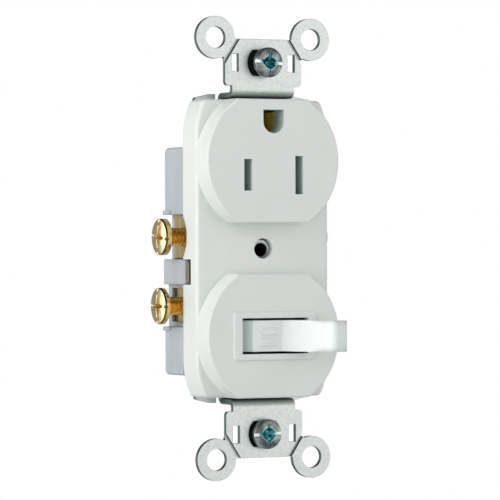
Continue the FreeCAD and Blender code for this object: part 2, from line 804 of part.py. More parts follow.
def load_terminal():
    """Right-hand plate whose arm carries the rocker on a rounded ridge."""
    plate = mirrored_x(without(switch_plate(), [screw_hole(lower_terminal_z)]))
    z0, z1 = switch_z - arm_half_height, switch_z + arm_half_height
    arm = floor_strip(-1.4, terminal_x, z0, z1)
    post = box(-ridge_radius, ridge_radius, rocker_axis_y, body_floor_y - brass_sheet / 2, z0, z1)
    ridge = rod(0, rocker_axis_y, z0, (0, 0, 1), ridge_radius, z1 - z0)
    return joined([plate, arm, post, ridge])


def ground_contact():
    """Base riveted to the yoke with two leaves that grip the round pin."""
    base_front = bridge_depth - brass_sheet
    base = box(-ground_leaf_root - contact_sheet / 2, ground_leaf_root + contact_sheet / 2,
               base_front, bridge_depth, rivet_z - 2.2, ground_z + ground_leaf_height / 2)
    hole = rod(0, base_front - 1, ground_z, (0, 1, 0), ground_pin_radius + 0.2, brass_sheet + 2)
    pin_hole = rod(0, base_front - 1, rivet_z, (0, 1, 0), rivet_radius, brass_sheet + 2)
    leaves = []
    for side in (-1, 1):
        path = [(side * ground_leaf_root, base_front + 0.4),
                (side * (ground_leaf_pinch + contact_sheet / 2), ground_leaf_pinch_y),
                (side * (ground_leaf_root - 0.1), ground_leaf_front_y)]
        leaves.append(prism_xy(strip_outline(path, contact_sheet), ground_z - ground_leaf_height / 2,
                               ground_z + ground_leaf_height / 2))
    return joined([without(base, [hole, pin_hole])] + leaves)


# Switch works
def lever_face():
    """Toggle seen along its pivot, upright: lever, two facets, drum skirts and hub."""
    half, tip = lever_root_thickness / 2, lever_tip_thickness / 2
    root_y, end = facet_root_y(), facet_end()
    points = [(-tip, root_y - lever_length), (-half, root_y), end, skirt_point(skirt_end()),
              (-hub_radius, 0.0)]
    middle = skirt_point((facet_end_angle() + skirt_end()) / 2)
    z = switch_z - toggle_height / 2
    edges = []
    for side in (-1, 1):
        at = [V(-side * x, y + toggle_pivot_y, z) for x, y in points]
        bend = V(-side * middle[0], middle[1] + toggle_pivot_y, z)
        edges += [Part.makeLine(at[0], at[1]), Part.makeLine(at[1], at[2]),
                  Part.Arc(at[2], bend, at[3]).toShape(), Part.makeLine(at[3], at[4])]
    for x, y in (points[0], points[-1]):
        edges.append(Part.makeLine(V(x, y + toggle_pivot_y, z), V(-x, y + toggle_pivot_y, z)))
    return Part.Face(Part.Wire(Part.__sortEdges__(edges)))


def skirt_point(degrees):
    angle = math.radians(degrees)
    return (-drum_radius * math.sin(angle), -drum_radius * math.cos(angle))


def facet_root_y():
    """Where a facet meets the lever: the facet lies flat in the window when thrown."""
    lean = math.radians(toggle_lean)
    half = lever_root_thickness / 2
    far = math.sqrt(drum_radius ** 2 - facet_far_x() ** 2)
    return -(far - half * math.sin(lean)) / math.cos(lean)


def facet_far_x():
    """Sideways distance of a thrown facet's outer end from the pivot."""
    lean = math.radians(toggle_lean)
    low, high = 0.0, drum_radius
    for _ in range(60):
        middle = (low + high) / 2
        far = math.sqrt(drum_radius ** 2 - middle ** 2)
        near_x = far * math.tan(lean) - lever_root_thickness / 2 / math.cos(lean)
        if near_x + middle > facet_length:
            high = middle
        else:
            low = middle
    return (low + high) / 2


def facet_end():
    lean = math.radians(toggle_lean)
    return (-lever_root_thickness / 2 - facet_length * math.cos(lean),
            facet_root_y() + facet_length * math.sin(lean))


def facet_end_angle():
    return math.degrees(math.atan2(-facet_end()[0], -facet_end()[1]))


def skirt_end():
    """Angle at which the drum's skin ends, clear of the yoke when the toggle is thrown."""
    clear = math.acos((toggle_pivot_y - bridge_depth + drum_skirt_gap) / drum_radius)
    return max(math.degrees(clear) - toggle_lean, facet_end_angle() + drum_skirt_least)


def shoulder_fillet():
    """Radius between facet and skirt, held back where a short skirt leaves it no room."""
    turn = math.radians(facet_end_angle() - toggle_lean)
    skirt = drum_radius * math.radians(skirt_end() - facet_end_angle())
    return min(drum_shoulder_radius, 0.45 * skirt / math.tan(turn / 2))


def drum_hollow(side):
    """Space between the drum's skin and the lever's root, open behind."""
    inner = drum_radius - drum_wall
    lean = math.radians(toggle_lean)
    rib = lever_root_thickness / 2 - 0.4
    depth = facet_root_y() + drum_wall / math.cos(lean)
    end = facet_end()
    last = math.radians(skirt_end())
    points = [(rib, -hub_radius - 0.2), (rib, depth + 0.2),
              (-end[0] - drum_wall * 1.3, end[1] + drum_wall * 0.7),
              (inner * math.sin(last) - 0.3, -inner * math.cos(last) - 0.2),
              (hub_radius + 0.6, -1.6)]
    points = [(side * x, y + toggle_pivot_y) for x, y in points]
    return prism_xy(points, switch_z - toggle_height / 2 - 1, switch_z + toggle_height / 2 + 1)


def toggle():
    half = toggle_height / 2
    body = lever_face().extrude(V(0, 0, 2 * half))
    tip_y = toggle_pivot_y + facet_root_y() - lever_length
    shoulder_x, shoulder_y = facet_end()
    body = rounded(body, shoulder_fillet(), lambda e: runs_along(e, (0, 0, 1))
                   and abs(abs(edge_middle(e).x) + shoulder_x) < 0.01
                   and abs(edge_middle(e).y - toggle_pivot_y - shoulder_y) < 0.01)
    body = rounded(body, lever_edge_radius, lambda e: edge_middle(e).y < tip_y + 0.1)
    hub = rod(0, toggle_pivot_y, switch_z - half, (0, 0, 1), hub_radius, 2 * half)
    tube = rod(0, toggle_pivot_y, switch_z, (0, 1, 0), spring_tube_radius, spring_tube_reach)
    body = joined([body, hub, tube])
    body = without(body, [drum_hollow(-1), drum_hollow(1)])
    reach = half + trunnion_length
    trunnion = rod(0, toggle_pivot_y, switch_z - reach, (0, 0, 1), trunnion_radius, 2 * reach)
    pocket = rod(0, toggle_pivot_y + spring_pocket_depth, switch_z, (0, 1, 0),
                 spring_coil_radius + spring_wire_radius + 0.1, spring_tube_reach)
    return leaned(without(joined([body, trunnion]), [pocket]), toggle_lean, toggle_pivot_y)


def spring_span():
    start = toggle_pivot_y + spring_pocket_depth
    return start, toggle_pivot_y + plunger_reach - plunger_cap


def toggle_spring():
    start, end = spring_span()
    height = end - start - 2 * spring_wire_radius
    helix = Part.makeHelix(height / spring_turns, height, spring_coil_radius)
    section = Part.Wire(Part.Circle(V(spring_coil_radius, 0, 0), V(0, 1, 0), spring_wire_radius).toShape())
    coil = Part.Wire(helix).makePipeShell([section], True, True)
    coil.rotate(V(0, 0, 0), V(1, 0, 0), -90)
    coil.translate(V(0, start + spring_wire_radius, switch_z))
    return leaned(coil, toggle_lean, toggle_pivot_y)


def spring_plunger():
    tip = toggle_pivot_y + plunger_reach
    base = tip - plunger_cap
    cap = rod(0, base, switch_z, (0, 1, 0), plunger_radius, plunger_cap)
    dome = Part.makeSphere(plunger_dome_radius, V(0, tip - plunger_dome_radius, switch_z))
    stem = rod(0, base - plunger_stem_length, switch_z, (0, 1, 0), plunger_stem_radius,
               plunger_stem_length + 0.2)
    return leaned(joined([cap.common(dome), stem]), toggle_lean, toggle_pivot_y)


def rocker_path():
    """Middle line of the rocker, level: a shallow vee with flatter ends."""
    centre_y = rocker_axis_y - rocker_over_ridge
    knee_rise = rocker_knee_x * math.tan(math.radians(rocker_vee))
    end_rise = knee_rise + (rocker_end_x - rocker_knee_x) * math.tan(math.radians(rocker_tilt))
    return [(-rocker_end_x, centre_y - end_rise), (-rocker_knee_x, centre_y - knee_rise), (0, centre_y),
            (rocker_knee_x, centre_y - knee_rise), (rocker_end_x, centre_y - end_rise)]


def contact_place():
    """Middle of the rocker's left-hand pad once it is pressed home."""
    path = rocker_path()
    x = (path[0][0] + path[1][0]) / 2 - 0.2
    y = (path[0][1] + path[1][1]) / 2
    return turned(x, y, -rocker_tilt, rocker_axis_y)


def contact_x():
    return contact_place()[0]


def contact_rocker():
    strip = prism_xy(strip_outline(rocker_path(), rocker_sheet), switch_z - rocker_half_height,
                     switch_z + rocker_half_height)
    groove = rod(0, rocker_axis_y, switch_z - 5, (0, 0, 1), ridge_radius + ridge_gap, 10)
    rocker = leaned(without(strip, [groove]), -rocker_tilt, rocker_axis_y)
    x, y = contact_place()
    tail = rod(x, y - 3, switch_z, (0, 1, 0), contact_tail_radius, 6)
    return without(rocker, [tail])


def moving_contact():
    x, y = contact_place()
    pad = y + rocker_sheet / 2
    button = rod(x, pad, switch_z, (0, 1, 0), contact_radius, moving_contact_thickness)
    tail = rod(x, y - rocker_sheet / 2, switch_z, (0, 1, 0), contact_tail_radius, rocker_sheet + 0.1)
    return joined([button, tail])


def fixed_contact():
    x, y = contact_place()
    face = y + rocker_sheet / 2 + moving_contact_thickness + contact_touch
    seat = body_floor_y - brass_sheet
    button = rod(x, face, switch_z, (0, 1, 0), contact_radius, seat - face)
    tail = rod(x, seat - 0.1, switch_z, (0, 1, 0), contact_tail_radius, brass_sheet + 0.1)
    return joined([button, tail])


# Fasteners
def driver_recess(x, y, z, slot_length, cross, depth):
    """Slot and cross cut into the front of a head that faces -Y."""
    slot = box(x - slot_length / 2, x + slot_length / 2, y - 1, y + depth, z - 0.45, z + 0.45)
    arms = [box(x - cross / 2, x + cross / 2, y - 1, y + 2 * depth, z - 0.5, z + 0.5),
            box(x - 0.5, x + 0.5, y - 1, y + 2 * depth, z - cross / 2, z + cross / 2)]
    return [slot] + arms


def mounting_screw(standoff):
    """Yoke screw: its neck below the head is thinner than its thread, so it stays captive."""
    head_back = -yoke_sheet - standoff
    head_front = head_back - mounting_head_height
    head = rod(0, head_front, screw_z, (0, 1, 0), mounting_head_radius, mounting_head_height)
    head = rounded(head, 1.1, lambda e: lies_at_y(e, head_front))
    straight = mounting_screw_length - mounting_point_length
    relief = rod(0, head_back, screw_z, (0, 1, 0), mounting_relief_radius, straight)
    shank = rod(0, head_back + mounting_relief_length, screw_z, (0, 1, 0),
                mounting_shank_radius, straight - mounting_relief_length)
    point = Part.makeCone(mounting_shank_radius, mounting_shank_radius * 0.6, mounting_point_length,
                          V(0, head_back + straight, screw_z), V(0, 1, 0))
    recess = driver_recess(0, head_front, screw_z, 2 * mounting_head_radius, 3.2, 0.8)
    return without(joined([head, relief, shank, point]), recess)


def screw_retainer():
    """Square fibre washer that keeps the upper yoke screw in its slot."""
    washer = box(-retainer_width / 2, retainer_width / 2, 0, retainer_thickness,
                 screw_z - retainer_height / 2, screw_z + retainer_height / 2)
    washer = rounded(washer, 1.0, lambda e: runs_along(e, (0, 1, 0)))
    hole = rod(0, -1, screw_z, (0, 1, 0), mounting_relief_radius + thread_clearance,
               retainer_thickness + 2)
    return without(washer, [hole])


def terminal_screw(z, backed_out):
    """Left-hand binding screw, backed out from its bay by the given distance."""
    under = -bay_half_width - backed_out
    outer = under - terminal_head_height
    head = rod(outer, terminal_screw_y, z, (1, 0, 0), terminal_head_radius, terminal_head_height)
    head = rounded(head, 0.5, lambda e: abs(edge_middle(e).x - outer) < 0.02)
    dish = rod(outer - 1, terminal_screw_y, z, (1, 0, 0), terminal_dish_radius, 1 + terminal_dish_depth)
    slot = box(outer - 1, outer + 0.7, terminal_screw_y - 6, terminal_screw_y + 6, z - 0.4, z + 0.4)
    cross = box(outer - 1, outer + 0.7, terminal_screw_y - 0.4, terminal_screw_y + 0.4, z - 6, z + 6)
    shank = rod(under, terminal_screw_y, z, (1, 0, 0), terminal_shank_radius, terminal_screw_length)
    return without(joined([head, shank]), [dish, slot, cross])


def ground_screw():
    """Hexagon-headed grounding screw in the yoke's tab."""
    under = ground_tab_x + ground_screw_travel
    corner = ground_head_flat / math.cos(math.radians(30))
    points = [V(under, terminal_screw_y + corner * math.sin(math.radians(60 * k)),
                ground_tab_z + corner * math.cos(math.radians(60 * k))) for k in range(6)]
    head = prism(points, V(ground_head_height, 0, 0))
    shank_length = terminal_screw_length - 0.4
    shank = rod(under - shank_length, terminal_screw_y, ground_tab_z, (1, 0, 0),
                terminal_shank_radius, shank_length + 0.1)
    slot = box(under + ground_head_height - 0.9, under + ground_head_height + 1,
               terminal_screw_y - 6, terminal_screw_y + 6, ground_tab_z - 0.6, ground_tab_z + 0.6)
    return without(joined([head, shank]), [slot])


def assembly_screw(z, back_y):
    """Screw from behind that clamps body, yoke and cover together."""
    seat = back_y - assembly_head_height
    tip = bridge_depth - assembly_bite + 0.4
    head = rod(0, seat, z, (0, 1, 0), assembly_head_radius, assembly_head_height - 0.1)
    shank = rod(0, tip, z, (0, 1, 0), assembly_shank_radius, seat - tip + 0.1)
    recess = [box(-1.3, 1.3, back_y - 0.7, back_y + 1, z - 0.3, z + 0.3),
              box(-0.3, 0.3, back_y - 0.7, back_y + 1, z - 1.3, z + 1.3)]
    return without(joined([head, shank]), recess)


def centre_eyelet():
    """Threaded eyelet that takes the wall plate's screw."""
    back = body_back_y
    tube = rod(0, eyelet_front_y, 0, (0, 1, 0), eyelet_outer_radius, back - eyelet_front_y)
    front_flange = rod(0, eyelet_front_y, 0, (0, 1, 0), eyelet_flange_radius, eyelet_flange_height)
    back_flange = rod(0, back - eyelet_flange_height, 0, (0, 1, 0), eyelet_flange_radius + 0.5,
                      eyelet_flange_height)
    bore = rod(0, eyelet_front_y - 1, 0, (0, 1, 0), eyelet_bore_radius, 30)
    eyelet = joined([tube, front_flange, back_flange])
    return without(eyelet, [bore])


def ground_rivet():
    start = bridge_depth - brass_sheet
    shank = rod(0, start - 0.1, rivet_z, (0, 1, 0), rivet_radius, bridge_back_y - start + 0.2)
    front = rod(0, start - rivet_head_height, rivet_z, (0, 1, 0), rivet_head_radius, rivet_head_height)
    back = rod(0, bridge_back_y, rivet_z, (0, 1, 0), rivet_head_radius, rivet_head_height)
    return joined([shank, front, back])


nodes = {
    "face_cover": face_cover(),
    "back_body": back_body(),
    "mounting_strap": mounting_strap(),
    "centre_eyelet": centre_eyelet(),
    "toggle": toggle(),
    "toggle_spring": toggle_spring(),
    "spring_plunger": spring_plunger(),
    "contact_rocker": contact_rocker(),
    "moving_contact": moving_contact(),
    "fixed_contact": fixed_contact(),
    "line_bus": line_bus(),
    "neutral_terminal": neutral_terminal(),
    "load_terminal": load_terminal(),
    "ground_contact": ground_contact(),
    "ground_rivet": ground_rivet(),
    "line_screw_upper": terminal_screw(upper_terminal_z, terminal_screw_travel),
    "line_screw_lower": terminal_screw(lower_terminal_z, terminal_screw_travel + lower_screw_extra),
    "neutral_screw": mirrored_x(terminal_screw(upper_terminal_z, terminal_screw_travel)),
    "load_screw": mirrored_x(terminal_screw(lower_terminal_z, terminal_screw_travel)),
    "ground_screw": ground_screw(),
    "mounting_screw_top": mounting_screw(top_screw_standoff),
    "mounting_screw_bottom": mirrored_z(mounting_screw(bottom_screw_standoff)),
    "screw_retainer_top": screw_retainer(),
    "screw_retainer_bottom": mirrored_z(screw_retainer()),
    "assembly_screw_upper": assembly_screw(upper_assembly_z, body_back_y),
    "assembly_screw_lower": assembly_screw(lower_assembly_z, body_front_y + screw_tower_depth),
}

os.makedirs("parts", exist_ok=True)
for name, shape in nodes.items():
    shape.exportStep("parts/" + name + ".step")
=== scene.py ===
"""A switch and a socket on one yoke, dressed for a plain studio picture.

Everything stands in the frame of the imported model: +Z up, the front faces -Y. The device's
sizes are given in millimetres, which MM turns into metres; the studio's are in metres.
The file follows the device as it is put together, from the yoke out to the toggle.
"""
import json
import math
import bpy
import numpy as np
from mathutils import Matrix, Vector


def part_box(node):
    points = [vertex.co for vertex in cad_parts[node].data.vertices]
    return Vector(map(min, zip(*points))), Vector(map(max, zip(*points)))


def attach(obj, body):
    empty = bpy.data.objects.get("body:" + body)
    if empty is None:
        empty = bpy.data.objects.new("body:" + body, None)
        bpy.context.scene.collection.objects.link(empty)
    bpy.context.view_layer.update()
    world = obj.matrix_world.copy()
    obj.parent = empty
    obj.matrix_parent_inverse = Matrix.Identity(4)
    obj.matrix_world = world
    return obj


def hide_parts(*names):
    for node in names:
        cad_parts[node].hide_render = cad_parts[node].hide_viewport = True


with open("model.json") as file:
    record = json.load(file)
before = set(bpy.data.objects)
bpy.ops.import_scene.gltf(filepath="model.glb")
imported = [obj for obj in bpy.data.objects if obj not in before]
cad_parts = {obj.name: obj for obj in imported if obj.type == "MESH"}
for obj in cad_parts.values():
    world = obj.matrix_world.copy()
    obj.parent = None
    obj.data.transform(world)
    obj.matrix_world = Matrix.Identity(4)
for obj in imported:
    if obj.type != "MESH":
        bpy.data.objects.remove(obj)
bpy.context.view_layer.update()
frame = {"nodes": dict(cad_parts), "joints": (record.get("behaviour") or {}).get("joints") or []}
MM = 0.001

# Camera: level with the middle of the yoke, a little to the left of its front.
# A long lens, as for a catalogue picture, so that the verticals stay upright.
camera_turn = math.radians(25.854)
camera_rise = math.radians(0.015)
camera_roll = math.radians(-0.175)
camera_distance = 749.8 * MM
camera_target = Vector((-3.489, -1.2, -0.354)) * MM
camera_lens = 240.64

towards_camera = Vector((-math.sin(camera_turn) * math.cos(camera_rise),
                         -math.cos(camera_turn) * math.cos(camera_rise),
                         math.sin(camera_rise)))
camera = bpy.data.objects.new("camera", bpy.data.cameras.new("camera"))
camera.data.lens = camera_lens
camera.data.sensor_width = 36.0
camera.data.clip_start = 0.01
level = towards_camera.to_track_quat("Z", "Y").to_matrix()
camera.matrix_world = (Matrix.Translation(camera_target + towards_camera * camera_distance)
                       @ (level @ Matrix.Rotation(camera_roll, 3, "Z")).to_4x4())
bpy.context.scene.collection.objects.link(camera)
bpy.context.scene.camera = camera
bpy.context.scene.view_settings.view_transform = "Standard"

# Studio light: an even pale room, a large soft box to the left and a weaker one in front.
# Bright metal shows a room that is dim overhead and underfoot, brightest on the left, and
# dark straight behind and around the camera.
room_glow, room_tint = 0.30, (0.985, 1.0, 0.99)
mirror_strength, mirror_gloom = 2.4, (0.10, 0.125, 0.12)
gloom_start, gloom_full = 0.18, 0.55
# Degrees from the way the device faces, +X being at 90, and the share of light from there.
mirror_bearings = [(-180, 0.13), (-151, 0.14), (-140, 1.0), (-66, 1.0), (-45, 0.15), (-10, 0.17),
                   (18, 0.455), (100, 0.46), (140, 0.25), (180, 0.13)]
# Width in metres, power in watts, and the middle of the box.
soft_boxes = {"soft_box_left": (1.2, 11.4, Vector((-1.03, -0.17, 0.25))),
              "soft_box_front": (1.6, 7.8, Vector((0.56, -1.21, 0.20)))}


def connect(node, inputs):
    """Gives each input, by name or number, a value or the output of another node."""
    for name, value in inputs.items():
        if isinstance(value, bpy.types.NodeSocket):
            node.id_data.links.new(value, node.inputs[name])
        else:
            node.inputs[name].default_value = value


def add_node(owner, kind, inputs=None, operation=None):
    """Adds a node to the shader of a world or a material, set and connected by its inputs."""
    node = owner.node_tree.nodes.new("ShaderNode" + kind)
    if operation:
        node.operation = operation
    connect(node, inputs or {})
    return node


def reckoned(owner, operation, *terms):
    """The operation on one to three terms, each a number or an output."""
    return add_node(owner, "Math", dict(enumerate(terms)), operation).outputs[0]


def spanned(owner, value, start, end, low=0.0, high=1.0):
    """Runs evenly from low to high while the value goes from start to end, and no further."""
    return add_node(owner, "MapRange", {"Value": value, "From Min": start, "From Max": end,
                                        "To Min": low, "To Max": high}).outputs["Result"]


def colours_between(owner, share, low, high, start=0.35, end=0.65):
    """Colour that runs from low to high while share goes from start to end."""
    ramp = add_node(owner, "ValToRGB", {"Fac": share})
    first, last = ramp.color_ramp.elements
    first.position, first.color = start, (*low, 1.0)
    last.position, last.color = end, (*high, 1.0)
    return ramp.outputs["Color"]


def over(owner, share, below, above, blend="MIX"):
    """Lays one colour over another: below where share is 0, above where it is 1."""
    mix = add_node(owner, "Mix")
    mix.data_type = "RGBA"
    mix.blend_type = blend
    below, above = ((*colour, 1.0) if isinstance(colour, tuple) else colour for colour in (below, above))
    connect(mix, {0: share, 6: below, 7: above})
    return mix.outputs[2]


def parts_of(owner, kind):
    """X, Y and Z of a point's place or of the way it faces, as the owner's own coordinates give them."""
    return add_node(owner, "SeparateXYZ", {0: add_node(owner, "TexCoord").outputs[kind]}).outputs


world = bpy.data.worlds.new("studio")
bpy.context.scene.world = world
world.use_nodes = True
world.node_tree.nodes.clear()
looking = parts_of(world, "Generated")
steepness = reckoned(world, "ABSOLUTE", looking["Z"])
up_or_down = colours_between(world, steepness, (1.0, 1.0, 1.0), mirror_gloom, gloom_start, gloom_full)
bearing = reckoned(world, "ARCTAN2", looking["X"], reckoned(world, "MULTIPLY", looking["Y"], -1.0))
all_round = add_node(world, "ValToRGB", {"Fac": spanned(world, bearing, -math.pi, math.pi)})
for number, (degrees, share) in enumerate(mirror_bearings):
    stops = all_round.color_ramp.elements
    stop = stops[0] if number == 0 else stops.new((degrees + 180) / 360) if degrees < 180 else stops[-1]
    stop.position = (degrees + 180) / 360
    stop.color = (share, share, share, 1.0)
mirror_room = over(world, 1.0, up_or_down, all_round.outputs["Color"], "MULTIPLY")
mirrored = add_node(world, "Background", {"Color": mirror_room, "Strength": mirror_strength}).outputs[0]
soft_fill = add_node(world, "Background", {"Color": (*room_tint, 1.0), "Strength": room_glow}).outputs[0]
seen_white = add_node(world, "Background", {"Color": (1.0, 1.0, 1.0, 1.0)}).outputs[0]
rays = add_node(world, "LightPath").outputs
lit = add_node(world, "MixShader", {"Fac": rays["Is Glossy Ray"], 1: soft_fill, 2: mirrored}).outputs[0]
see_through = reckoned(world, "MAXIMUM", rays["Is Camera Ray"], rays["Is Transmission Ray"])
shown = add_node(world, "MixShader", {"Fac": see_through, 1: lit, 2: seen_white}).outputs[0]
add_node(world, "OutputWorld", {"Surface": shown})

for name, (box_size, box_power, box_place) in soft_boxes.items():
    soft_box = bpy.data.objects.new(name, bpy.data.lights.new(name, "AREA"))
    soft_box.data.shape = "SQUARE"
    soft_box.data.size = box_size
    soft_box.data.energy = box_power
    soft_box.visible_glossy = False
    soft_box.matrix_world = Matrix.Translation(box_place) @ box_place.to_track_quat("Z", "Y").to_matrix().to_4x4()
    bpy.context.scene.collection.objects.link(soft_box)

# Floor: a round pale table well below the device, which is held up in the air.
# Its rim fades into the white of the room, and it is lifted a little for the camera alone,
# so that it comes out near white and still takes the device's shadow.
floor_drop, floor_radius, floor_fade_start = 0.11, 0.62, 0.45
floor_rings, floor_spokes = 24, 96
floor_pale, floor_glow = (0.86, 0.87, 0.865), 0.33


def once_round(count):
    """Angles in equal steps once round, the last a step short of the first."""
    return np.linspace(0.0, 2 * np.pi, count, endpoint=False)


def disc_points(radius, drop, rings, spokes):
    """Points of a flat disc: (r cos a, r sin a, -drop) for r from 0 to the radius and a all round."""
    r, a = np.meshgrid(np.linspace(0.0, radius, rings), once_round(spokes), indexing="ij")
    return np.stack([r * np.cos(a), r * np.sin(a), np.full_like(r, -drop)], axis=-1)


def grid_faces(rows, columns, looped=False):
    """Four-sided faces of a grid whose columns run round: row i, column j joins row i + 1,
    column j + 1. With looped, the last row joins the first as well."""
    row, column = np.meshgrid(np.arange(rows if looped else rows - 1), np.arange(columns), indexing="ij")
    below, beside = (row + 1) % rows, (column + 1) % columns
    return np.stack([row * columns + column, row * columns + beside,
                     below * columns + beside, below * columns + column], axis=-1).reshape(-1, 4)


def new_piece(name, surfaces):
    """One smoothly shaded object at the origin from its surfaces, each given as (places, four-sided
    faces, triangles). A surface's faces count on from the places of those before it."""
    faces, start = [], 0
    for places, quads, triangles in surfaces:
        faces += (start + quads).tolist() + (start + triangles).tolist()
        start += len(places)
    mesh = bpy.data.meshes.new(name)
    mesh.from_pydata(np.concatenate([surface[0] for surface in surfaces]).tolist(), [], faces)
    mesh.validate()
    mesh.shade_smooth()
    piece = bpy.data.objects.new(name, mesh)
    bpy.context.scene.collection.objects.link(piece)
    return piece


no_triangles = np.zeros((0, 3), int)
floor_places = disc_points(floor_radius, floor_drop, floor_rings, floor_spokes).reshape(-1, 3)
floor = new_piece("floor", [(floor_places, grid_faces(floor_rings, floor_spokes), no_triangles)])
floor_paint = bpy.data.materials.new("floor_paint")
floor_paint.use_nodes = True
floor_paint.node_tree.nodes.clear()
floor_place = add_node(floor_paint, "TexCoord").outputs["Object"]
floor_reach = add_node(floor_paint, "VectorMath", {0: floor_place}, "LENGTH").outputs["Value"]
floor_fade = spanned(floor_paint, floor_reach, floor_fade_start * floor_radius, floor_radius)
floor_seen = add_node(floor_paint, "LightPath").outputs["Is Camera Ray"]
floor_lift = add_node(floor_paint, "Emission",
                      {"Strength": reckoned(floor_paint, "MULTIPLY", floor_seen, floor_glow)}).outputs[0]
floor_matt = add_node(floor_paint, "BsdfDiffuse", {"Color": (*floor_pale, 1.0)}).outputs[0]
floor_lit = add_node(floor_paint, "AddShader", {0: floor_matt, 1: floor_lift}).outputs[0]
floor_white = add_node(floor_paint, "Emission").outputs[0]
floor_blend = add_node(floor_paint, "MixShader", {"Fac": floor_fade, 1: floor_lit, 2: floor_white}).outputs[0]
add_node(floor_paint, "OutputMaterial", {"Surface": floor_blend})
floor.data.materials.append(floor_paint)

# Yoke: one strip of hot-dip galvanised steel, pierced, scored for its break-off
# washers and folded twice at either end. Zinc flows off the sheared edges, which stay darker.
# The darkening follows the way a surface faces, so it falls on the bends that face up or down
# as well, and there it is a painted shade.
zinc_colour, zinc_shade = (0.91, 0.945, 0.92), (0.77, 0.81, 0.79)
edge_and_bend_shade, turned_full, turned_none = (0.13, 0.17, 0.155), 0.45, 0.96
zinc_grain, zinc_round = 2200.0, 0.2


def new_finish(name, colour, roughness, metallic=0.0):
    """A material with one shader, set to a colour, a roughness and a share of metal."""
    material = bpy.data.materials.new(name)
    material.use_nodes = True
    shader = material.node_tree.nodes["Principled BSDF"]
    connect(shader, {"Base Color": (*colour, 1.0), "Roughness": roughness, "Metallic": metallic})
    return material, shader


def noise_over(material, scale, detail=4.0, stretch=(1.0, 1.0, 1.0)):
    """Noise of (x a, y b, z c) times scale over the piece's own coordinates, with (a, b, c) = stretch."""
    place = add_node(material, "TexCoord").outputs["Object"]
    stretched = add_node(material, "Mapping", {"Vector": place, "Scale": stretch}).outputs["Vector"]
    return add_node(material, "TexNoise", {"Vector": stretched, "Scale": scale, "Detail": detail}).outputs["Fac"]


def roughened(material, shader, share, low, high):
    """Roughness that runs from low to high while share goes from 0.3 to 0.7."""
    connect(shader, {"Roughness": spanned(material, share, 0.3, 0.7, low, high)})


def embossed(material, shader, share, depth, strength=1.0):
    """Surface relief of the given depth in metres where share runs from 0 to 1."""
    bump = add_node(material, "Bump", {"Strength": strength, "Distance": depth, "Height": share})
    connect(shader, {"Normal": bump.outputs["Normal"]})


def softened_edges(material, shader, radius, samples=6):
    """Shades sharp edges as if rounded by the radius, a length in metres or an output: the way a
    point faces is the mean of the faces within that reach. The finish's own grain lies on top."""
    softening = add_node(material, "Bevel", {"Radius": radius})
    softening.samples = samples
    grain = [node for node in material.node_tree.nodes if node.bl_idname == "ShaderNodeBump"]
    for node in grain or [shader]:
        connect(node, {"Normal": softening.outputs["Normal"]})


def turned_away_share(material, axis, full, none):
    """Share of darkening by n, the part along the axis of the way a point faces: 1 where
    |n| is at most full, 0 where it is at least none, straight between. On the yoke it marks
    the sheared edges, and the bends that face up or down, where it is a painted shade."""
    facing = reckoned(material, "ABSOLUTE", parts_of(material, "Normal")[axis])
    return spanned(material, facing, none, full)


def dress(node, material):
    """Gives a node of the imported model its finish."""
    mesh = frame["nodes"][node].data
    mesh.materials.clear()
    mesh.materials.append(material)


zinc, zinc_shader = new_finish("galvanised_zinc", zinc_colour, 0.36, 1.0)
zinc_face = colours_between(zinc, noise_over(zinc, zinc_grain), zinc_shade, zinc_colour, 0.3, 0.55)
# Darker where the surface turns away from the front: real on the sheared edges, painted shade on the bends.
zinc_edge_and_bend_shade = turned_away_share(zinc, "Y", turned_full, turned_none)
connect(zinc_shader, {"Base Color": over(zinc, zinc_edge_and_bend_shade, zinc_face, edge_and_bend_shade)})
roughened(zinc, zinc_shader, noise_over(zinc, 2.2 * zinc_grain), 0.36, 0.52)
embossed(zinc, zinc_shader, noise_over(zinc, 1.5 * zinc_grain), 0.02 * MM, 0.6)
softened_edges(zinc, zinc_shader, zinc_round * MM)
dress("mounting_strap", zinc)

# Retainers: square washers punched from black vulcanised fibre, pushed over the relieved
# necks of the two mounting screws behind the ears, so that these can't drop out.
fibre_black, fibre_grey = (0.004, 0.004, 0.004), (0.012, 0.012, 0.011)
fibre, fibre_shader = new_finish("black_fibre", fibre_black, 0.75)
fibre_weave = noise_over(fibre, 2500.0, stretch=(1.0, 1.0, 0.2))
connect(fibre_shader, {"Base Color": colours_between(fibre, fibre_weave, fibre_black, fibre_grey)})
embossed(fibre, fibre_shader, fibre_weave, 0.03 * MM)
dress("screw_retainer_top", fibre)
dress("screw_retainer_bottom", fibre)

# Rear body: matt grey moulding of glass-filled thermoplastic with open terminal bays.
# The mould was eroded, which leaves a fine even grain, and the glass shows as faint flow marks.
grey_light, grey_dark = (0.475, 0.515, 0.54), (0.425, 0.465, 0.49)
grey_round = 0.5
grey_plastic, grey_shader = new_finish("grey_moulding", grey_light, 0.55)
flow_marks = noise_over(grey_plastic, 260.0, 6.0, (1.0, 1.0, 0.4))
connect(grey_shader, {"Base Color": colours_between(grey_plastic, flow_marks, grey_dark, grey_light)})
roughened(grey_plastic, grey_shader, flow_marks, 0.5, 0.62)
embossed(grey_plastic, grey_shader, noise_over(grey_plastic, 4000.0), 0.012 * MM, 0.5)
softened_edges(grey_plastic, grey_shader, grey_round * MM)
dress("back_body", grey_plastic)

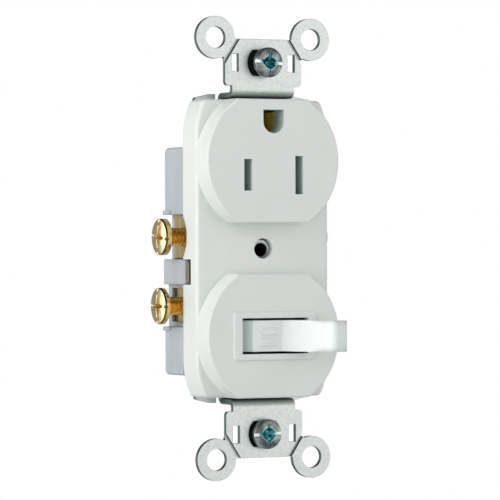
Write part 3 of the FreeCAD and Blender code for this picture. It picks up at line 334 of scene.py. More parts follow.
# Terminals and contacts: half-hard brass strip, stamped, folded and tapped.
# It is dull from handling, with drawing marks along the strip; the grounding contact is
# bright-dipped instead.
brass_light, brass_dull = (0.44, 0.34, 0.155), (0.35, 0.27, 0.12)
dipped_light, dipped_deep = (1.0, 0.72, 0.09), (0.90, 0.54, 0.05)
brass, brass_shader = new_finish("stamped_brass", brass_light, 0.36, 1.0)
drawing_marks = noise_over(brass, 500.0, 5.0, (1.0, 1.0, 0.25))
connect(brass_shader, {"Base Color": colours_between(brass, drawing_marks, brass_dull, brass_light)})
roughened(brass, brass_shader, noise_over(brass, 1500.0), 0.3, 0.44)
embossed(brass, brass_shader, noise_over(brass, 1800.0, 3.0, (1.0, 1.0, 0.1)), 0.01 * MM, 0.4)
for node in ("line_bus", "neutral_terminal", "load_terminal", "ground_rivet", "contact_rocker", "spring_plunger"):
    dress(node, brass)
bright_brass, bright_shader = new_finish("bright_dipped_brass", dipped_light, 0.45)
bright_blotches = noise_over(bright_brass, 700.0)
connect(bright_shader, {"Base Color": colours_between(bright_brass, bright_blotches, dipped_deep, dipped_light)})
roughened(bright_brass, bright_shader, noise_over(bright_brass, 1600.0), 0.38, 0.5)
dress("ground_contact", bright_brass)

# Contact buttons: fine-grained silver alloy, headed from wire and riveted, one to the rocker
# that moves and one to the bus.
silver_light, silver_worn = (0.84, 0.84, 0.82), (0.70, 0.70, 0.67)
silver, silver_shader = new_finish("contact_silver", silver_light, 0.3, 1.0)
connect(silver_shader, {"Base Color": colours_between(silver, noise_over(silver, 900.0), silver_worn, silver_light)})
roughened(silver, silver_shader, noise_over(silver, 2600.0), 0.24, 0.38)
dress("moving_contact", silver)
dress("fixed_contact", silver)

# Terminal screws: four brass binding screws, cold-headed with a low crown and a driving
# cross whose arms run out to the rim, their threads rolled. The neutral one is nickel-plated.
binding_head_radius, binding_head_height, binding_under_inset = 4.12, 1.68, 0.35
binding_crown, binding_edge_run, binding_edge_drop = 0.35, 0.24, 0.34
# How far each crown stands out beyond its node, and how far its cross is turned, in degrees.
binding_forward = {"line_screw_upper": 0.35, "line_screw_lower": 0.0, "neutral_screw": 0.0, "load_screw": 0.0}
binding_turn = {"line_screw_upper": 7.0, "line_screw_lower": 2.0, "neutral_screw": 33.0, "load_screw": -18.0}
binding_cross_half_width, binding_cross_reach, binding_cross_depth, binding_cross_wall = 0.42, 2.6, 0.5, 0.2
binding_notch_half_width, binding_notch_start, binding_notch_depth, binding_notch_wall = 0.3, 3.2, 0.9, 0.12
binding_centre_narrower, binding_centre_reach, binding_centre_depth, binding_centre_wall = 0.12, 1.9, 0.85, 0.5
binding_thread = {"crest": 2.06, "root": 1.62, "pitch": 0.79}
binding_run_out, binding_tip_length = 0.35, 0.9
binding_rings, binding_stem_rows, screw_columns = 72, 72, 192
# The recess colours of brass and nickel are painted shade.
brass_polished, brass_blotched, brass_recess_shade = (0.80, 0.61, 0.28), (0.57, 0.35, 0.11), (0.10, 0.08, 0.02)
# The orange colour for the stems and the faces' middles is a painted reflection of brass in brass.
brass_painted_reflection, brass_paler_outwards = (1.0, 0.54, 0.09), (0.95, 0.84, 0.50)
nickel_polished, nickel_blotched, nickel_recess_shade = (0.76, 0.76, 0.73), (0.58, 0.58, 0.55), (0.2, 0.2, 0.19)


def cut_depth(outside, depth, wall):
    """Depth of a pressed recess: 0 where outside > 0, full where outside < -wall, straight between."""
    return depth * np.clip(-outside / wall, 0.0, 1.0)


def screw_face(radius, rings, columns, crown, edge_run, edge_drop, recess):
    """Front of a screw's head as (radius, angle, depth) arrays.

    The depth is crown (r/R)^2, plus an elliptic roll of edge_drop over the last edge_run of the
    radius, or the depth of the driving recess at that place where this is deeper.
    The radius may differ from column to column, as on a hexagon.
    """
    share = np.linspace(0.0, 1.0, rings)[:, None]
    reach = np.broadcast_to(radius, (1, columns))
    r = share * reach
    roll = np.clip((r - (reach - edge_run)) / edge_run, 0.0, 1.0)
    depth = crown * share ** 2 + edge_drop * (1.0 - np.sqrt(1.0 - roll ** 2))
    angle = np.broadcast_to(once_round(columns)[None, :], r.shape)
    return r, angle, np.maximum(depth, recess(r * np.cos(angle), r * np.sin(angle)))


def rolled_thread(along, angle, crest, root, pitch, start, end, run_out):
    """Radius of a thread: root + (crest - root) times a flat-topped triangle wave of
    along / pitch - angle / 2 pi, which fades out over run_out at its start and its end."""
    phase = np.mod(along / pitch - angle / (2 * np.pi), 1.0)
    wave = np.clip(1.25 * (1.0 - np.abs(2.0 * phase - 1.0)), 0.0, 1.0)
    fade = np.clip((along - start) / run_out, 0.0, 1.0) * np.clip((end - along) / run_out, 0.0, 1.0)
    return root + (crest - root) * wave * fade


def threaded_stem(head_height, end, rows, columns, start, run_out, thread):
    """Stem from the head's underside to the start of its point, as (radius, depth) rows."""
    along = np.linspace(head_height, end, rows)[:, None]
    r = rolled_thread(along, once_round(columns)[None, :], start=start, end=end, run_out=run_out, **thread)
    return r, np.broadcast_to(along, r.shape)


def whole_screw(face, head_radius, head_height, under_radius, stem, tip_length):
    """Rows of a screw from the middle of its face to its tip, as (radius, angle, depth).

    The face is followed by the rim, straight down from each point of the face's edge, the
    underside, which is drawn in from the rim to under_radius, the seat, the stem's rows and a
    cone that narrows by tip_taper and ends flat.
    """
    r, angle, depth = face
    stem_r, stem_depth = stem
    undercut, tip_taper = 0.5, 0.42
    rim_share, under, cone = (np.linspace(0.0, 1.0, steps)[1:, None] for steps in (7, 4, 6))
    rim_end = head_height - (head_radius - under_radius) * undercut
    rim_depth = depth[-1:] + rim_share * (rim_end - depth[-1:])
    rim_r = np.broadcast_to(r[-1:], rim_depth.shape)
    under_r = r[-1:] * (under_radius / head_radius) ** under
    under_depth = rim_end + under * (head_height - rim_end) + np.zeros_like(under_r)
    seat_r = under_r[-1:] + under * (stem_r[:1] - under_r[-1:])
    seat_depth = np.full_like(seat_r, head_height)
    cone_r = stem_r[-1:] * (1.0 - tip_taper * cone)
    cone_depth = stem_depth[-1:] + tip_length * cone + np.zeros_like(cone_r)
    all_r = np.vstack([r, rim_r, under_r, seat_r, stem_r, cone_r, 0.0 * cone_r[-1:]])
    all_depth = np.vstack([depth, rim_depth, under_depth, seat_depth, stem_depth, cone_depth, cone_depth[-1:]])
    return all_r, np.broadcast_to(angle[:1], all_r.shape), all_depth


def closed_surface(points):
    """Surface of a grid of rings whose first and last rows are single points: these two become
    one vertex each, with a fan of triangles about it, so that the poles are closed."""
    rows, columns = points.shape[:2]
    last = (rows - 1) * columns
    around, after = np.arange(columns), np.roll(np.arange(columns), -1)
    first_fan = np.stack([columns + around, columns + after, np.zeros_like(around)], axis=-1)
    last_fan = np.stack([last - columns + after, last - columns + around, np.full_like(around, last)], axis=-1)
    kept = np.concatenate([[0], np.arange(columns, last), [last]])
    number = np.zeros(rows * columns, int)
    number[kept] = np.arange(len(kept))
    return (points.reshape(-1, 3)[kept], number[grid_faces(rows, columns)[columns:-columns]],
            number[np.concatenate([first_fan, last_fan])])


def facing_out(surface):
    """The same closed surface with its faces turned outwards. Six times its volume is the sum of
    a . (b x c + c x d) over the faces with corners a, b, c, d, and is negative if they face inwards."""
    places, quads, triangles = surface
    corners = places[np.concatenate([quads, triangles[:, [0, 1, 2, 2]]])]
    a, b, c, d = corners.transpose(1, 0, 2)
    if (a * (np.cross(b, c) + np.cross(c, d))).sum() < 0:
        quads, triangles = quads[:, ::-1], triangles[:, ::-1]
    return places, quads, triangles


def head_place(node, axis, side):
    """Middle of a screw's face, at that side of its node along the axis, and its length in mm."""
    low, high = (np.array(corner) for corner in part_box(node))
    middle = (low + high) / 2
    middle[axis] = low[axis] if side < 0 else high[axis]
    return middle, (high[axis] - low[axis]) / MM


def screw_piece(name, rows, middle, inwards, turn):
    """Places a screw: the middle of its face, the way it is driven, and how far it is turned."""
    r, angle, depth = rows
    inwards = Vector(inwards)
    up = Vector((0.0, 0.0, 1.0))
    across = up.cross(inwards)
    turned = angle + math.radians(turn)
    points = (np.array(middle) + depth[..., None] * MM * np.array(inwards)
              + (r * np.cos(turned))[..., None] * MM * np.array(across)
              + (r * np.sin(turned))[..., None] * MM * np.array(up))
    return new_piece(name, [facing_out(closed_surface(points))])


def mark_points(piece, share, name):
    """Stores on each point of a screw a share from 0 to 1, given in the screw's own rows."""
    values = np.clip(share, 0.0, 1.0).reshape(-1)
    columns = share.shape[1]
    kept = np.concatenate([values[:1], values[columns:-columns], values[-1:]])
    layer = piece.data.attributes.new(name, "FLOAT", "POINT")
    layer.data.foreach_set("value", kept.astype(np.float32))


def mark_face(piece, rows, face_rings, name, share_at):
    """Marks the screw's face by a share that depends on the place in it, and nothing behind it."""
    r, angle, depth = rows
    share = np.array(share_at(r * np.cos(angle), r * np.sin(angle), depth))
    share[face_rings:] = 0.0
    mark_points(piece, share, name)


def plate_marks(material, shader, polished, dull, recess_colour, burnish_and_reflection_colour=None, paler_outwards=None):
    """Plated finish: blotches from dull to polished, the recess in its own colour, and more
    colours, if given: one that is paler away from the face's middle, and one for metal rubbed
    bright and for the orange that brass mirrors from brass, a painted reflection."""
    skin = colours_between(material, noise_over(material, 420.0, 5.0), dull, polished, 0.36, 0.62)
    for name, colour in (("paler_outwards", paler_outwards), ("recess", recess_colour), ("burnish_and_reflection", burnish_and_reflection_colour)):
        if colour is not None:
            mark = add_node(material, "Attribute")
            mark.attribute_name = name
            skin = over(material, mark.outputs["Fac"], skin, colour)
    connect(shader, {"Base Color": skin})


def binding_recess(x, z):
    """Cross of four tapering arms near the middle, cut through the crown's edge by a notch at
    each end, with a deeper cross pressed in the middle: the greatest of the three depths."""
    far, near = np.maximum(np.abs(x), np.abs(z)), np.minimum(np.abs(x), np.abs(z))
    arm = near - binding_cross_half_width * (1.0 - 0.1 * far)
    arms = cut_depth(np.maximum(arm, far - binding_cross_reach), binding_cross_depth, binding_cross_wall)
    notches = cut_depth(np.maximum(near - binding_notch_half_width, binding_notch_start - far),
                        binding_notch_depth, binding_notch_wall)
    centre = cut_depth(np.maximum(arm - binding_centre_narrower, far - binding_centre_reach),
                       binding_centre_depth, binding_centre_wall)
    return np.maximum(np.maximum(arms, notches), centre)


def binding_painted_shade(x, z, depth):
    """Share of painted shade in the recess, which grows over 0.2 mm from 0.2 mm below the crown, to
    0.6 in the cross and to 0.9 in the notches beyond 3 mm, and on the line where the crown rolls over."""
    r = np.hypot(x, z)
    crown = binding_crown * (r / binding_head_radius) ** 2
    line = np.clip((r - binding_head_radius + binding_edge_run - 0.02) / 0.06, 0.0, 0.9)
    return np.maximum(np.clip((depth - crown - 0.2) / 0.2, 0.0, np.where(r > 3.0, 0.9, 0.6)), line)


def binding_paler_outwards(x, z, depth):
    """Paler share of the face: it grows evenly by 1 in 1.6 mm from a radius of 1.2 mm, up to 0.62."""
    return np.clip((np.hypot(x, z) - 1.2) / 1.6, 0.0, 0.62)


def binding_screw(node, finish):
    """A terminal screw in the place of its node, its head away from the middle of the device.
    The rolled stem is painted orange all over, a painted reflection of brass in brass, and the
    face most in its middle: 0.4 - 0.16 r."""
    outwards = math.copysign(1.0, sum(corner[0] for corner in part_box(node)))
    middle, length = head_place(node, 0, outwards)
    middle[0] += outwards * binding_forward[node] * MM
    length += binding_forward[node]
    head_height = binding_head_height + binding_forward[node]
    face = screw_face(binding_head_radius, binding_rings, screw_columns, binding_crown, binding_edge_run,
                      binding_edge_drop, binding_recess)
    stem = threaded_stem(head_height, length - binding_tip_length, binding_stem_rows, screw_columns,
                         head_height, binding_run_out, binding_thread)
    rows = whole_screw(face, binding_head_radius, head_height, binding_head_radius - binding_under_inset,
                       stem, binding_tip_length)
    piece = screw_piece(node + "_turned", rows, middle, (-outwards, 0.0, 0.0), binding_turn[node])
    # Painted shade in the cross, the notches and the line where the crown rolls over.
    mark_face(piece, rows, binding_rings, "recess", binding_painted_shade)
    # The face turns paler away from its middle.
    mark_face(piece, rows, binding_rings, "paler_outwards", binding_paler_outwards)
    # Painted reflection: orange over the stem and the face's middle.
    painted_orange_share = (rows[2] - head_height) / 0.15
    painted_orange_share[:binding_rings] = 0.4 - 0.16 * rows[0][:binding_rings]
    mark_points(piece, painted_orange_share, "burnish_and_reflection")
    piece.data.materials.append(finish)
    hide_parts(node)
    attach(piece, node + "_body")


screw_brass, screw_brass_shader = new_finish("screw_brass", brass_polished, 0.2, 1.0)
plate_marks(screw_brass, screw_brass_shader, brass_polished, brass_blotched, brass_recess_shade, brass_painted_reflection,
            brass_paler_outwards)
roughened(screw_brass, screw_brass_shader, noise_over(screw_brass, 1300.0), 0.09, 0.2)
embossed(screw_brass, screw_brass_shader, noise_over(screw_brass, 900.0), 0.05 * MM, 0.7)
screw_nickel, screw_nickel_shader = new_finish("screw_nickel", nickel_polished, 0.22, 1.0)
plate_marks(screw_nickel, screw_nickel_shader, nickel_polished, nickel_blotched, nickel_recess_shade)
roughened(screw_nickel, screw_nickel_shader, noise_over(screw_nickel, 1300.0), 0.16, 0.3)
for node in ("line_screw_upper", "line_screw_lower", "load_screw"):
    binding_screw(node, screw_brass)
binding_screw("neutral_screw", screw_nickel)

# Grounding screw: hexagon head with a screwdriver slot, cold-headed steel dyed green so
# that it is told apart, threaded into the tab folded back from the yoke.
ground_flat, ground_head, ground_edge = 3.88, 2.38, 0.35
ground_corner_share, ground_under_inset = 1.13, 0.1
ground_slot_half_width, ground_slot_depth, ground_slot_wall = 0.6, 0.9, 0.1
ground_tip_length, ground_rings = 0.9, 48
green_light, green_dark, green_recess_shade = (0.035, 0.27, 0.10), (0.015, 0.15, 0.06), (0.01, 0.08, 0.03)


def hexagon_reach(angle, flat, corner):
    """Distance from the middle to a hexagon's side: flat / cos of the angle to the middle of the
    nearest side, but at most corner, where the blank was turned."""
    return np.minimum(flat / np.cos(np.mod(angle + np.pi / 6, np.pi / 3) - np.pi / 6), corner)


def ground_recess(x, z):
    """One slot right across the head."""
    return cut_depth(np.abs(z) - ground_slot_half_width, ground_slot_depth, ground_slot_wall)


ground_middle, ground_length = head_place("ground_screw", 0, 1.0)
ground_reach = hexagon_reach(once_round(screw_columns)[None, :], ground_flat, ground_corner_share * ground_flat)
ground_face = screw_face(ground_reach, ground_rings, screw_columns, 0.0, ground_edge, ground_edge, ground_recess)
ground_stem = threaded_stem(ground_head, ground_length - ground_tip_length, binding_stem_rows, screw_columns,
                            ground_head, binding_run_out, binding_thread)
ground_rows = whole_screw(ground_face, ground_flat, ground_head, ground_flat - ground_under_inset,
                          ground_stem, ground_tip_length)
ground_piece = screw_piece("ground_screw_hexagon", ground_rows, ground_middle, (-1.0, 0.0, 0.0), 90.0)
# Painted shade: the slot darkens with its depth.
mark_face(ground_piece, ground_rows, ground_rings, "recess", lambda x, z, depth: (depth - 0.3) / 0.5)
green_dye, green_shader = new_finish("green_dye", green_light, 0.3, 1.0)
plate_marks(green_dye, green_shader, green_light, green_dark, green_recess_shade)
roughened(green_dye, green_shader, noise_over(green_dye, 1500.0), 0.22, 0.4)
ground_piece.data.materials.append(green_dye)
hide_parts("ground_screw")
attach(ground_piece, "ground_screw_body")

# Mounting screws: long round-headed steel screws with a slot and a cross, zinc-plated and
# blued. Their necks are relieved below the head, and the thread starts behind the retainer.
yoke_head_radius, yoke_head_height, yoke_under_inset = 3.38, 1.93, 0.15
yoke_edge_run, yoke_edge_drop, yoke_crown = 0.5, 0.35, 0.5
yoke_slot_half_width, yoke_slot_depth, yoke_slot_wall = 0.5, 0.7, 0.1
yoke_cross_half_width, yoke_cross_reach, yoke_cross_depth, yoke_cross_wall = 0.52, 2.25, 0.9, 0.15
yoke_diamond_reach, yoke_diamond_edge, yoke_diamond_depth, yoke_diamond_wall = 2.1, 0.25, 2.2, 0.1
yoke_neck, yoke_neck_end, yoke_run_out, yoke_tip_length = 1.43, 4.05, 0.5, 1.5
yoke_thread = {"crest": 1.7, "root": 1.36, "pitch": 0.794}
yoke_turn = {"mounting_screw_top": 5.0, "mounting_screw_bottom": -3.0}
yoke_rings, yoke_stem_rows = 84, 150
blued_light, blued_dark, blued_bright = (0.50, 0.54, 0.525), (0.11, 0.14, 0.14), (0.92, 1.0, 0.99)
chromate_deep, chromate_pale = (0.004, 0.09, 0.11), (0.34, 0.86, 0.90)


def yoke_recess(x, z):
    """Slot right across the head, a short upright notch, and a diamond |x| + |z| < reach between
    them whose four walls slope to the middle: the greatest of the three depths."""
    slot = cut_depth(np.abs(z) - yoke_slot_half_width, yoke_slot_depth, yoke_slot_wall)
    notch = cut_depth(np.maximum(np.abs(x) - yoke_cross_half_width, np.abs(z) - yoke_cross_reach),
                      yoke_cross_depth, yoke_cross_wall)
    inside = yoke_diamond_reach - np.abs(x) - np.abs(z)
    slope = yoke_diamond_edge + (yoke_diamond_depth - yoke_diamond_edge) * inside / yoke_diamond_reach
    diamond = np.where(inside > 0, slope, 0.0) * np.clip(inside / yoke_diamond_wall, 0.0, 1.0)
    return np.maximum(np.maximum(slot, notch), diamond)


def in_cross(x, z, depth):
    """1 within the diamond and the notch, where the blue lies, growing over 0.12 and 0.08 mm from
    their borders."""
    diamond = (yoke_diamond_reach - np.abs(x) - np.abs(z)) / 0.12
    notch = np.minimum(yoke_cross_half_width - np.abs(x), yoke_cross_reach - np.abs(z)) / 0.08
    return np.maximum(diamond, notch)


def rubbed_bright(x, z, depth):
    """Share rubbed bright: 1 on the slot's floor outside the diamond, and 0.8 on the diamond's raised
    edge, where it falls off over 0.16 mm to either side."""
    out = np.abs(x) + np.abs(z) - yoke_diamond_reach
    slot_floor = np.minimum((yoke_slot_half_width - 0.06 - np.abs(z)) / 0.06, (out - 0.25) / 0.1)
    edge = 1.0 - np.abs(out - 0.08) / 0.16
    return np.maximum(slot_floor, 0.8 * edge)


def yoke_screw(node):
    """A mounting screw in the place of its node: plain neck up to the thread, then the thread."""
    middle, length = head_place(node, 1, -1.0)
    face = screw_face(yoke_head_radius, yoke_rings, screw_columns, yoke_crown, yoke_edge_run, yoke_edge_drop,
                      yoke_recess)
    start = yoke_head_height + yoke_neck_end
    r, along = threaded_stem(yoke_head_height, length - yoke_tip_length, yoke_stem_rows, screw_columns,
                             start, yoke_run_out, yoke_thread)
    rows = whole_screw(face, yoke_head_radius, yoke_head_height, yoke_head_radius - yoke_under_inset,
                       (np.where(along < start, yoke_neck, r), along), yoke_tip_length)
    piece = screw_piece(node + "_turned", rows, middle, (0.0, 1.0, 0.0), yoke_turn[node])
    mark_face(piece, rows, yoke_rings, "recess", in_cross)
    mark_face(piece, rows, yoke_rings, "burnish_and_reflection", rubbed_bright)
    piece.data.materials.append(blued_zinc)
    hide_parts(node)
    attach(piece, node + "_body")


blued_zinc, blued_shader = new_finish("blued_zinc", blued_light, 0.32, 1.0)
chromate = colours_between(blued_zinc, noise_over(blued_zinc, 1150.0, 2.0), chromate_deep, chromate_pale,
                           0.42, 0.58)
plate_marks(blued_zinc, blued_shader, blued_light, blued_dark, chromate, blued_bright)
roughened(blued_zinc, blued_shader, noise_over(blued_zinc, 1400.0), 0.26, 0.42)
embossed(blued_zinc, blued_shader, noise_over(blued_zinc, 1600.0), 0.015 * MM, 0.5)
yoke_screw("mounting_screw_top")
yoke_screw("mounting_screw_bottom")

# Assembly screws: two short pan-headed steel screws put in from behind, which clamp the body,
# the yoke and the cover together. Their heads lie in pockets of the body.
clamp_head_radius, clamp_head_height, clamp_under_inset = 2.48, 0.98, 0.1
clamp_crown, clamp_edge = 0.1, 0.35
clamp_cross_half_width, clamp_cross_reach, clamp_cross_depth, clamp_cross_wall = 0.33, 1.35, 0.75, 0.12
clamp_thread = {"crest": 1.28, "root": 0.98, "pitch": 0.7}
clamp_thread_length, clamp_run_out, clamp_tip_length = 7.0, 0.4, 0.8
clamp_turn = {"assembly_screw_upper": 12.0, "assembly_screw_lower": 38.0}
clamp_rings, clamp_columns, clamp_stem_rows = 56, 128, 130


def clamp_recess(x, z):
    """Cross of two short arms, each as deep as the middle."""
    arm = np.minimum(np.maximum(np.abs(x) - clamp_cross_reach, np.abs(z) - clamp_cross_half_width),
                     np.maximum(np.abs(z) - clamp_cross_reach, np.abs(x) - clamp_cross_half_width))
    return cut_depth(arm, clamp_cross_depth, clamp_cross_wall)


for node, turn in clamp_turn.items():
    clamp_middle, clamp_length = head_place(node, 1, 1.0)
    clamp_face = screw_face(clamp_head_radius, clamp_rings, clamp_columns, clamp_crown, clamp_edge, clamp_edge,
                            clamp_recess)
    clamp_stem = threaded_stem(clamp_head_height, clamp_length - clamp_tip_length, clamp_stem_rows,
                               clamp_columns, clamp_length - clamp_thread_length, clamp_run_out, clamp_thread)
    clamp_rows = whole_screw(clamp_face, clamp_head_radius, clamp_head_height,
                             clamp_head_radius - clamp_under_inset, clamp_stem, clamp_tip_length)
    clamp_piece = screw_piece(node + "_turned", clamp_rows, clamp_middle, (0.0, -1.0, 0.0), turn)
    mark_face(clamp_piece, clamp_rows, clamp_rings, "recess", lambda x, z, depth: (depth - 0.35) / 0.3)
    clamp_piece.data.materials.append(blued_zinc)
    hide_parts(node)
    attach(clamp_piece, "housing")

# Centre eyelet: a steel tube pushed through the whole device, flanged over at both ends and
# tapped for the wall plate's screw. The bore and the lip's outer wall are painted dark, a painted
# shade, and the mouth is rolled in a little lower than the middle of the lip.
eyelet_mouth, eyelet_roll, eyelet_drift = 1.55, 0.17, 0.42
eyelet_tube, eyelet_lip, eyelet_lip_height, eyelet_back_lip = 1.98, 2.13, 0.66, 2.6
eyelet_thread = {"crest": 1.72, "root": 1.42, "pitch": 0.794}
eyelet_thread_front, eyelet_thread_back, eyelet_run_out = 0.9, 0.4, 0.3
eyelet_drift_depths, eyelet_drift_shares = [0.0, 0.06, 0.3, 0.7, 3.0], [0.55, 0.8, 1.0, 0.55, 0.0]
eyelet_columns, eyelet_thread_rows = 96, 240
# The last colour is a painted shade for the bore and the lip's outer wall.
steel_light, steel_dull, steel_painted_shade = (0.78, 0.82, 0.80), (0.50, 0.55, 0.53), (0.006, 0.008, 0.008)


def looped_surface(points):
    """Surface of a grid that closes on itself both ways, like a tyre."""
    return points.reshape(-1, 3), grid_faces(*points.shape[:2], looped=True), no_triangles


def eyelet_section(front, back, angle):
    """Closed section of the eyelet as (radius, depth, darkness) rows for each angle, in two parts:
    outside, the rolled front lip, the tube and the back lip; inside, from the back along the
    thread's wave to the mouth."""
    outside = np.array([(eyelet_lip - eyelet_roll, front, 0.0), (eyelet_lip - 0.13, front + 0.05, 0.9),
                        (eyelet_lip - 0.04, front + 0.2, 1.0), (eyelet_lip, front + eyelet_lip_height, 1.0),
                        (eyelet_tube, front + eyelet_lip_height, 0.5), (eyelet_tube, back - eyelet_lip_height, 0.0),
                        (eyelet_back_lip, back - eyelet_lip_height, 0.0), (eyelet_back_lip, back - 0.15, 0.0),
                        (eyelet_back_lip - 0.15, back, 0.0), (eyelet_mouth + 0.05, back, 0.0)])
    start, end = front + eyelet_thread_front, back - eyelet_thread_back
    along = np.linspace(end, start, eyelet_thread_rows)[:, None]
    r = rolled_thread(along, angle, start=start, end=end, run_out=eyelet_run_out, **eyelet_thread)
    bore = np.stack([r, np.broadcast_to(along, r.shape), np.ones_like(r)], axis=-1)
    mouth = np.array([(eyelet_mouth - 0.04, front + 0.7, 1.0), (eyelet_mouth, front + 0.5, 0.8),
                      (eyelet_mouth + 0.05, front + 0.26, 0.15), (eyelet_mouth + 0.11, front + 0.06, 0.0),
                      (eyelet_mouth + 0.15, front, 0.0)])
    outside, mouth = (np.repeat(rows[:, None, :], angle.shape[1], axis=1) for rows in (outside, mouth))
    return outside, np.concatenate([bore, mouth])


eyelet_low, eyelet_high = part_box("centre_eyelet")
eyelet_angle = once_round(eyelet_columns)[None, :]
outside, inside = eyelet_section(eyelet_low[1] / MM, eyelet_high[1] / MM, eyelet_angle)
section = np.concatenate([outside, inside])
eyelet_points = np.stack([section[..., 0] * np.cos(eyelet_angle), section[..., 1],
                          section[..., 0] * np.sin(eyelet_angle)], axis=-1)
eyelet_inwards = inside[..., 1] - eyelet_low[1] / MM
eyelet_points[len(outside):, :, 2] -= eyelet_drift * np.interp(eyelet_inwards, eyelet_drift_depths,
                                                               eyelet_drift_shares)
eyelet = new_piece("centre_eyelet_tapped", [facing_out(looped_surface(eyelet_points * MM))])
# Painted shade: this share darkens the bore and the lip's outer wall.
eyelet_shade = eyelet.data.attributes.new("recess", "FLOAT", "POINT")
eyelet_shade.data.foreach_set("value", section[..., 2].reshape(-1).astype(np.float32))
eyelet_steel, eyelet_shader = new_finish("eyelet_steel", steel_dull, 0.36, 0.55)
plate_marks(eyelet_steel, eyelet_shader, steel_light, steel_dull, steel_painted_shade)
roughened(eyelet_steel, eyelet_shader, noise_over(eyelet_steel, 1700.0), 0.3, 0.5)
eyelet.data.materials.append(eyelet_steel)
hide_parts("centre_eyelet")
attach(eyelet, "housing")

# Face cover: glossy white thermoplastic, moulded in one piece with both bosses, the toggle's
# bezel and the slots' collars. Polished, with the faint ripple of the mould's steel. Inside the
# slots its colour turns darker and greener, a painted shade.
white_colour, white_deep = (0.803, 0.835, 0.813), (0.788, 0.82, 0.798)
slots_low, slots_high, slots_fade = (-9.0, -6.2, 10.8), (9.0, 6.5, 31.4), 0.9
# Colour inside the slots, a painted shade.
painted_slot_shade = (0.56, 0.67, 0.635)


def inside_share(material, low, high, fade):
    """1 within a box of the piece's own coordinates in mm, reached over fade behind its front."""
    parts = parts_of(material, "Object")
    share = spanned(material, parts["Y"], low[1] * MM, (low[1] + fade) * MM)
    for axis, number in (("X", 0), ("Z", 2)):
        middle, reach = (low[number] + high[number]) / 2 * MM, (high[number] - low[number]) / 2 * MM
        share = reckoned(material, "MULTIPLY", share, reckoned(material, "COMPARE", parts[axis], middle, reach))
    return share


white_plastic, white_shader = new_finish("white_moulding", white_colour, 0.36)
white_skin = colours_between(white_plastic, noise_over(white_plastic, 120.0), white_deep, white_colour)
slot_shade_share = inside_share(white_plastic, slots_low, slots_high, slots_fade)
# Painted shade: the colour turns darker and greener inside the slots.
connect(white_shader, {"Base Color": over(white_plastic, slot_shade_share, white_skin, painted_slot_shade)})
roughened(white_plastic, white_shader, noise_over(white_plastic, 700.0), 0.32, 0.42)
embossed(white_plastic, white_shader, noise_over(white_plastic, 5000.0), 0.004 * MM, 0.4)
dress("face_cover", white_plastic)

# Toggle: moulded from the same white, with a word on each facet beside the lever. The letters
# are beads of plastic left by grooves engraved in the mould, read from above downwards. The
# lever's end is softly rounded and painted paler, a painted light, and the drum's flanks
# carry a painted shade, as if the window shaded them.
toggle_joint = next(joint for joint in frame["joints"] if joint["name"] == "toggle_throw")
toggle_pivot = np.array(toggle_joint["pos_m"]) / MM
toggle_swing = math.radians(-toggle_joint["range_deg"][0])
toggle_colour, toggle_deep = (0.87, 0.895, 0.88), (0.845, 0.87, 0.855)
lever_soft, lever_soft_start, lever_soft_end, lever_samples = 2.6, -13.0, -17.0, 8
# The lever's end is painted paler, a painted light.
painted_tip_light, tip_start, tip_end = (0.90, 0.965, 0.95), -16.5, -18.2
lever_lean, flank_start = math.radians(25.0), math.radians(51.8)
painted_flank_shade = (0.60, 0.68, 0.65)
letter_facet_y, letter_height, letter_bead, letter_rise = -6.0, 4.3, 0.55, 0.38
bead_columns, bead_end_rows, oval_rows, oval_power = 20, 7, 56, 2.6
on_middle, off_middle = (-1.25, -19.65), (1.7, -19.55)


def stroke(start, end):
    """Bead of plastic from one point to another on the facet, as (along, across, height) rows.

    Each row is an ellipse, letter_bead wide and letter_rise high, and the rows at the two ends
    shrink along a quarter circle to a point."""
    start, end = np.array(start), np.array(end)
    way = (end - start) / np.linalg.norm(end - start)
    side = np.array((-way[1], way[0]))
    quarter = np.linspace(0.0, np.pi / 2, bead_end_rows)
    size = np.concatenate([np.sin(quarter), np.sin(quarter[::-1])])[:, None]
    shift = np.concatenate([-np.cos(quarter), np.cos(quarter[::-1])]) * letter_bead / 2
    base = np.repeat([start, end], bead_end_rows, axis=0)
    angle = once_round(bead_columns)[None, :]
    flat = (base + shift[:, None] * way)[:, None, :] + (size * np.cos(angle))[..., None] * side * letter_bead / 2
    return np.concatenate([flat, (size * np.sin(angle) * letter_rise)[..., None]], axis=-1)


def oval(middle, width, height):
    """Closed bead round an oval whose centre line is |x / a|^p + |y / b|^p = 1, with p = oval_power."""
    t = once_round(oval_rows)
    a, b = (width - letter_bead) / 2, (height - letter_bead) / 2
    line = np.stack([a * np.sign(np.cos(t)) * np.abs(np.cos(t)) ** (2 / oval_power),
                     b * np.sign(np.sin(t)) * np.abs(np.sin(t)) ** (2 / oval_power)], axis=-1) + np.array(middle)
    way = np.roll(line, -1, axis=0) - np.roll(line, 1, axis=0)
    way /= np.linalg.norm(way, axis=1, keepdims=True)
    side = np.stack([-way[:, 1], way[:, 0]], axis=-1)
    angle = once_round(bead_columns)[None, :, None]
    flat = line[:, None, :] + np.cos(angle) * side[:, None, :] * letter_bead / 2
    rise = np.broadcast_to(np.sin(angle) * letter_rise, (*flat.shape[:2], 1))
    return np.concatenate([flat, rise], axis=-1)


def on_facet(points, middle, swing):
    """Turns a letter a quarter clockwise, lays it on the facet and swings it about the pivot:
    a letter's (across, up, rise) becomes (up, facet - rise, -across) round the given middle."""
    laid = np.stack([middle[0] + points[..., 1], letter_facet_y - points[..., 2],
                     middle[1] - points[..., 0]], axis=-1) - toggle_pivot
    c, s = math.cos(swing), math.sin(swing)
    return (np.stack([c * laid[..., 0] - s * laid[..., 1], s * laid[..., 0] + c * laid[..., 1],
                      laid[..., 2]], axis=-1) + toggle_pivot) * MM


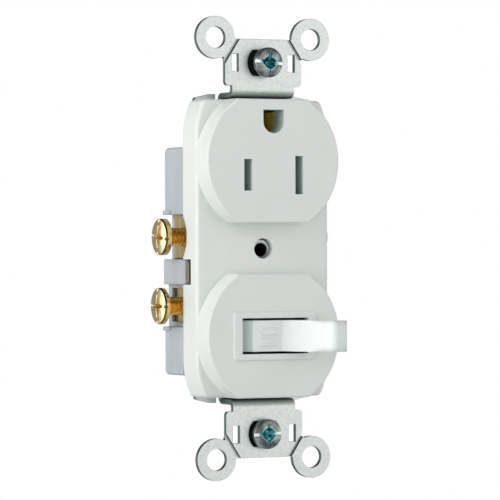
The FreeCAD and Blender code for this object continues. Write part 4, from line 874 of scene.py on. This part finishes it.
def letter_o(middle, width):
    """One oval bead."""
    return [(looped_surface, oval((middle, 0.0), width, letter_height))]


def letter_n(middle, width):
    """Left stem, the slant from its top to the right stem's foot, right stem."""
    half, tall = (width - letter_bead) / 2, (letter_height - letter_bead) / 2
    return [(closed_surface, stroke((middle - half, -tall), (middle - half, tall))),
            (closed_surface, stroke((middle - half, tall), (middle + half, -tall))),
            (closed_surface, stroke((middle + half, -tall), (middle + half, tall)))]


def letter_f(middle, width):
    """Stem, the full bar at its top and the shorter bar just above its middle."""
    half, tall = (width - letter_bead) / 2, (letter_height - letter_bead) / 2
    return [(closed_surface, stroke((middle - half, -tall), (middle - half, tall))),
            (closed_surface, stroke((middle - half, tall), (middle + half, tall))),
            (closed_surface, stroke((middle - half, 0.1), (middle + 0.7 * half, 0.1)))]


def moulded_letter(name, beads, middle, swing):
    """One letter: its beads as closed surfaces in one mesh, on the facet that has this swing."""
    letter = new_piece(name, [facing_out(surface(on_facet(bead, middle, swing))) for surface, bead in beads])
    letter.data.materials.append(toggle_white)
    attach(letter, "toggle_unit")


def along_lever(material, start, end, most):
    """Runs from 0 to most along the lever, while y goes from start to end in mm."""
    return spanned(material, parts_of(material, "Object")["Y"], start * MM, end * MM, 0.0, most)


def flank_share(material):
    """1 on the drum's two flanks: where |atan2(x, pivot y - y) - lever_lean|, the angle about the
    pivot from the lever's own direction, is larger than flank_start, and 0 elsewhere."""
    parts = parts_of(material, "Object")
    forward = reckoned(material, "SUBTRACT", toggle_pivot[1] * MM, parts["Y"])
    angle = reckoned(material, "ARCTAN2", parts["X"], forward)
    away = reckoned(material, "ABSOLUTE", reckoned(material, "SUBTRACT", angle, lever_lean))
    return reckoned(material, "GREATER_THAN", away, flank_start)


toggle_white, toggle_shader = new_finish("white_toggle", toggle_colour, 0.34)
toggle_skin = colours_between(toggle_white, noise_over(toggle_white, 160.0), toggle_deep, toggle_colour)
# Painted shade on the drum's flanks.
toggle_skin = over(toggle_white, flank_share(toggle_white), toggle_skin, painted_flank_shade)
# Painted light: the lever's end turns paler.
toggle_skin = over(toggle_white, along_lever(toggle_white, tip_start, tip_end, 1.0), toggle_skin, painted_tip_light)
connect(toggle_shader, {"Base Color": toggle_skin})
roughened(toggle_white, toggle_shader, noise_over(toggle_white, 700.0), 0.3, 0.4)
lever_round = along_lever(toggle_white, lever_soft_start, lever_soft_end, lever_soft * MM)
softened_edges(toggle_white, toggle_shader, lever_round, lever_samples)
dress("toggle", toggle_white)
moulded_letter("on_o", letter_o(-1.18, 2.0), on_middle, 0.0)
moulded_letter("on_n", letter_n(1.14, 2.3), on_middle, 0.0)
moulded_letter("off_o", letter_o(-1.95, 1.7), off_middle, toggle_swing)
moulded_letter("off_f_near", letter_f(0.1, 1.5), off_middle, toggle_swing)
moulded_letter("off_f_far", letter_f(1.95, 1.5), off_middle, toggle_swing)

# Toggle spring: music wire wound in six turns and ground at both ends, which drives the
# plunger over the middle of the rocker.
wire_light, wire_dark = (0.60, 0.61, 0.62), (0.40, 0.41, 0.42)
spring_wire, spring_shader = new_finish("spring_wire", wire_light, 0.3, 1.0)
wire_marks = noise_over(spring_wire, 1500.0)
connect(spring_shader, {"Base Color": colours_between(spring_wire, wire_marks, wire_dark, wire_light)})
roughened(spring_wire, spring_shader, noise_over(spring_wire, 2500.0), 0.24, 0.4)
dress("toggle_spring", spring_wire)
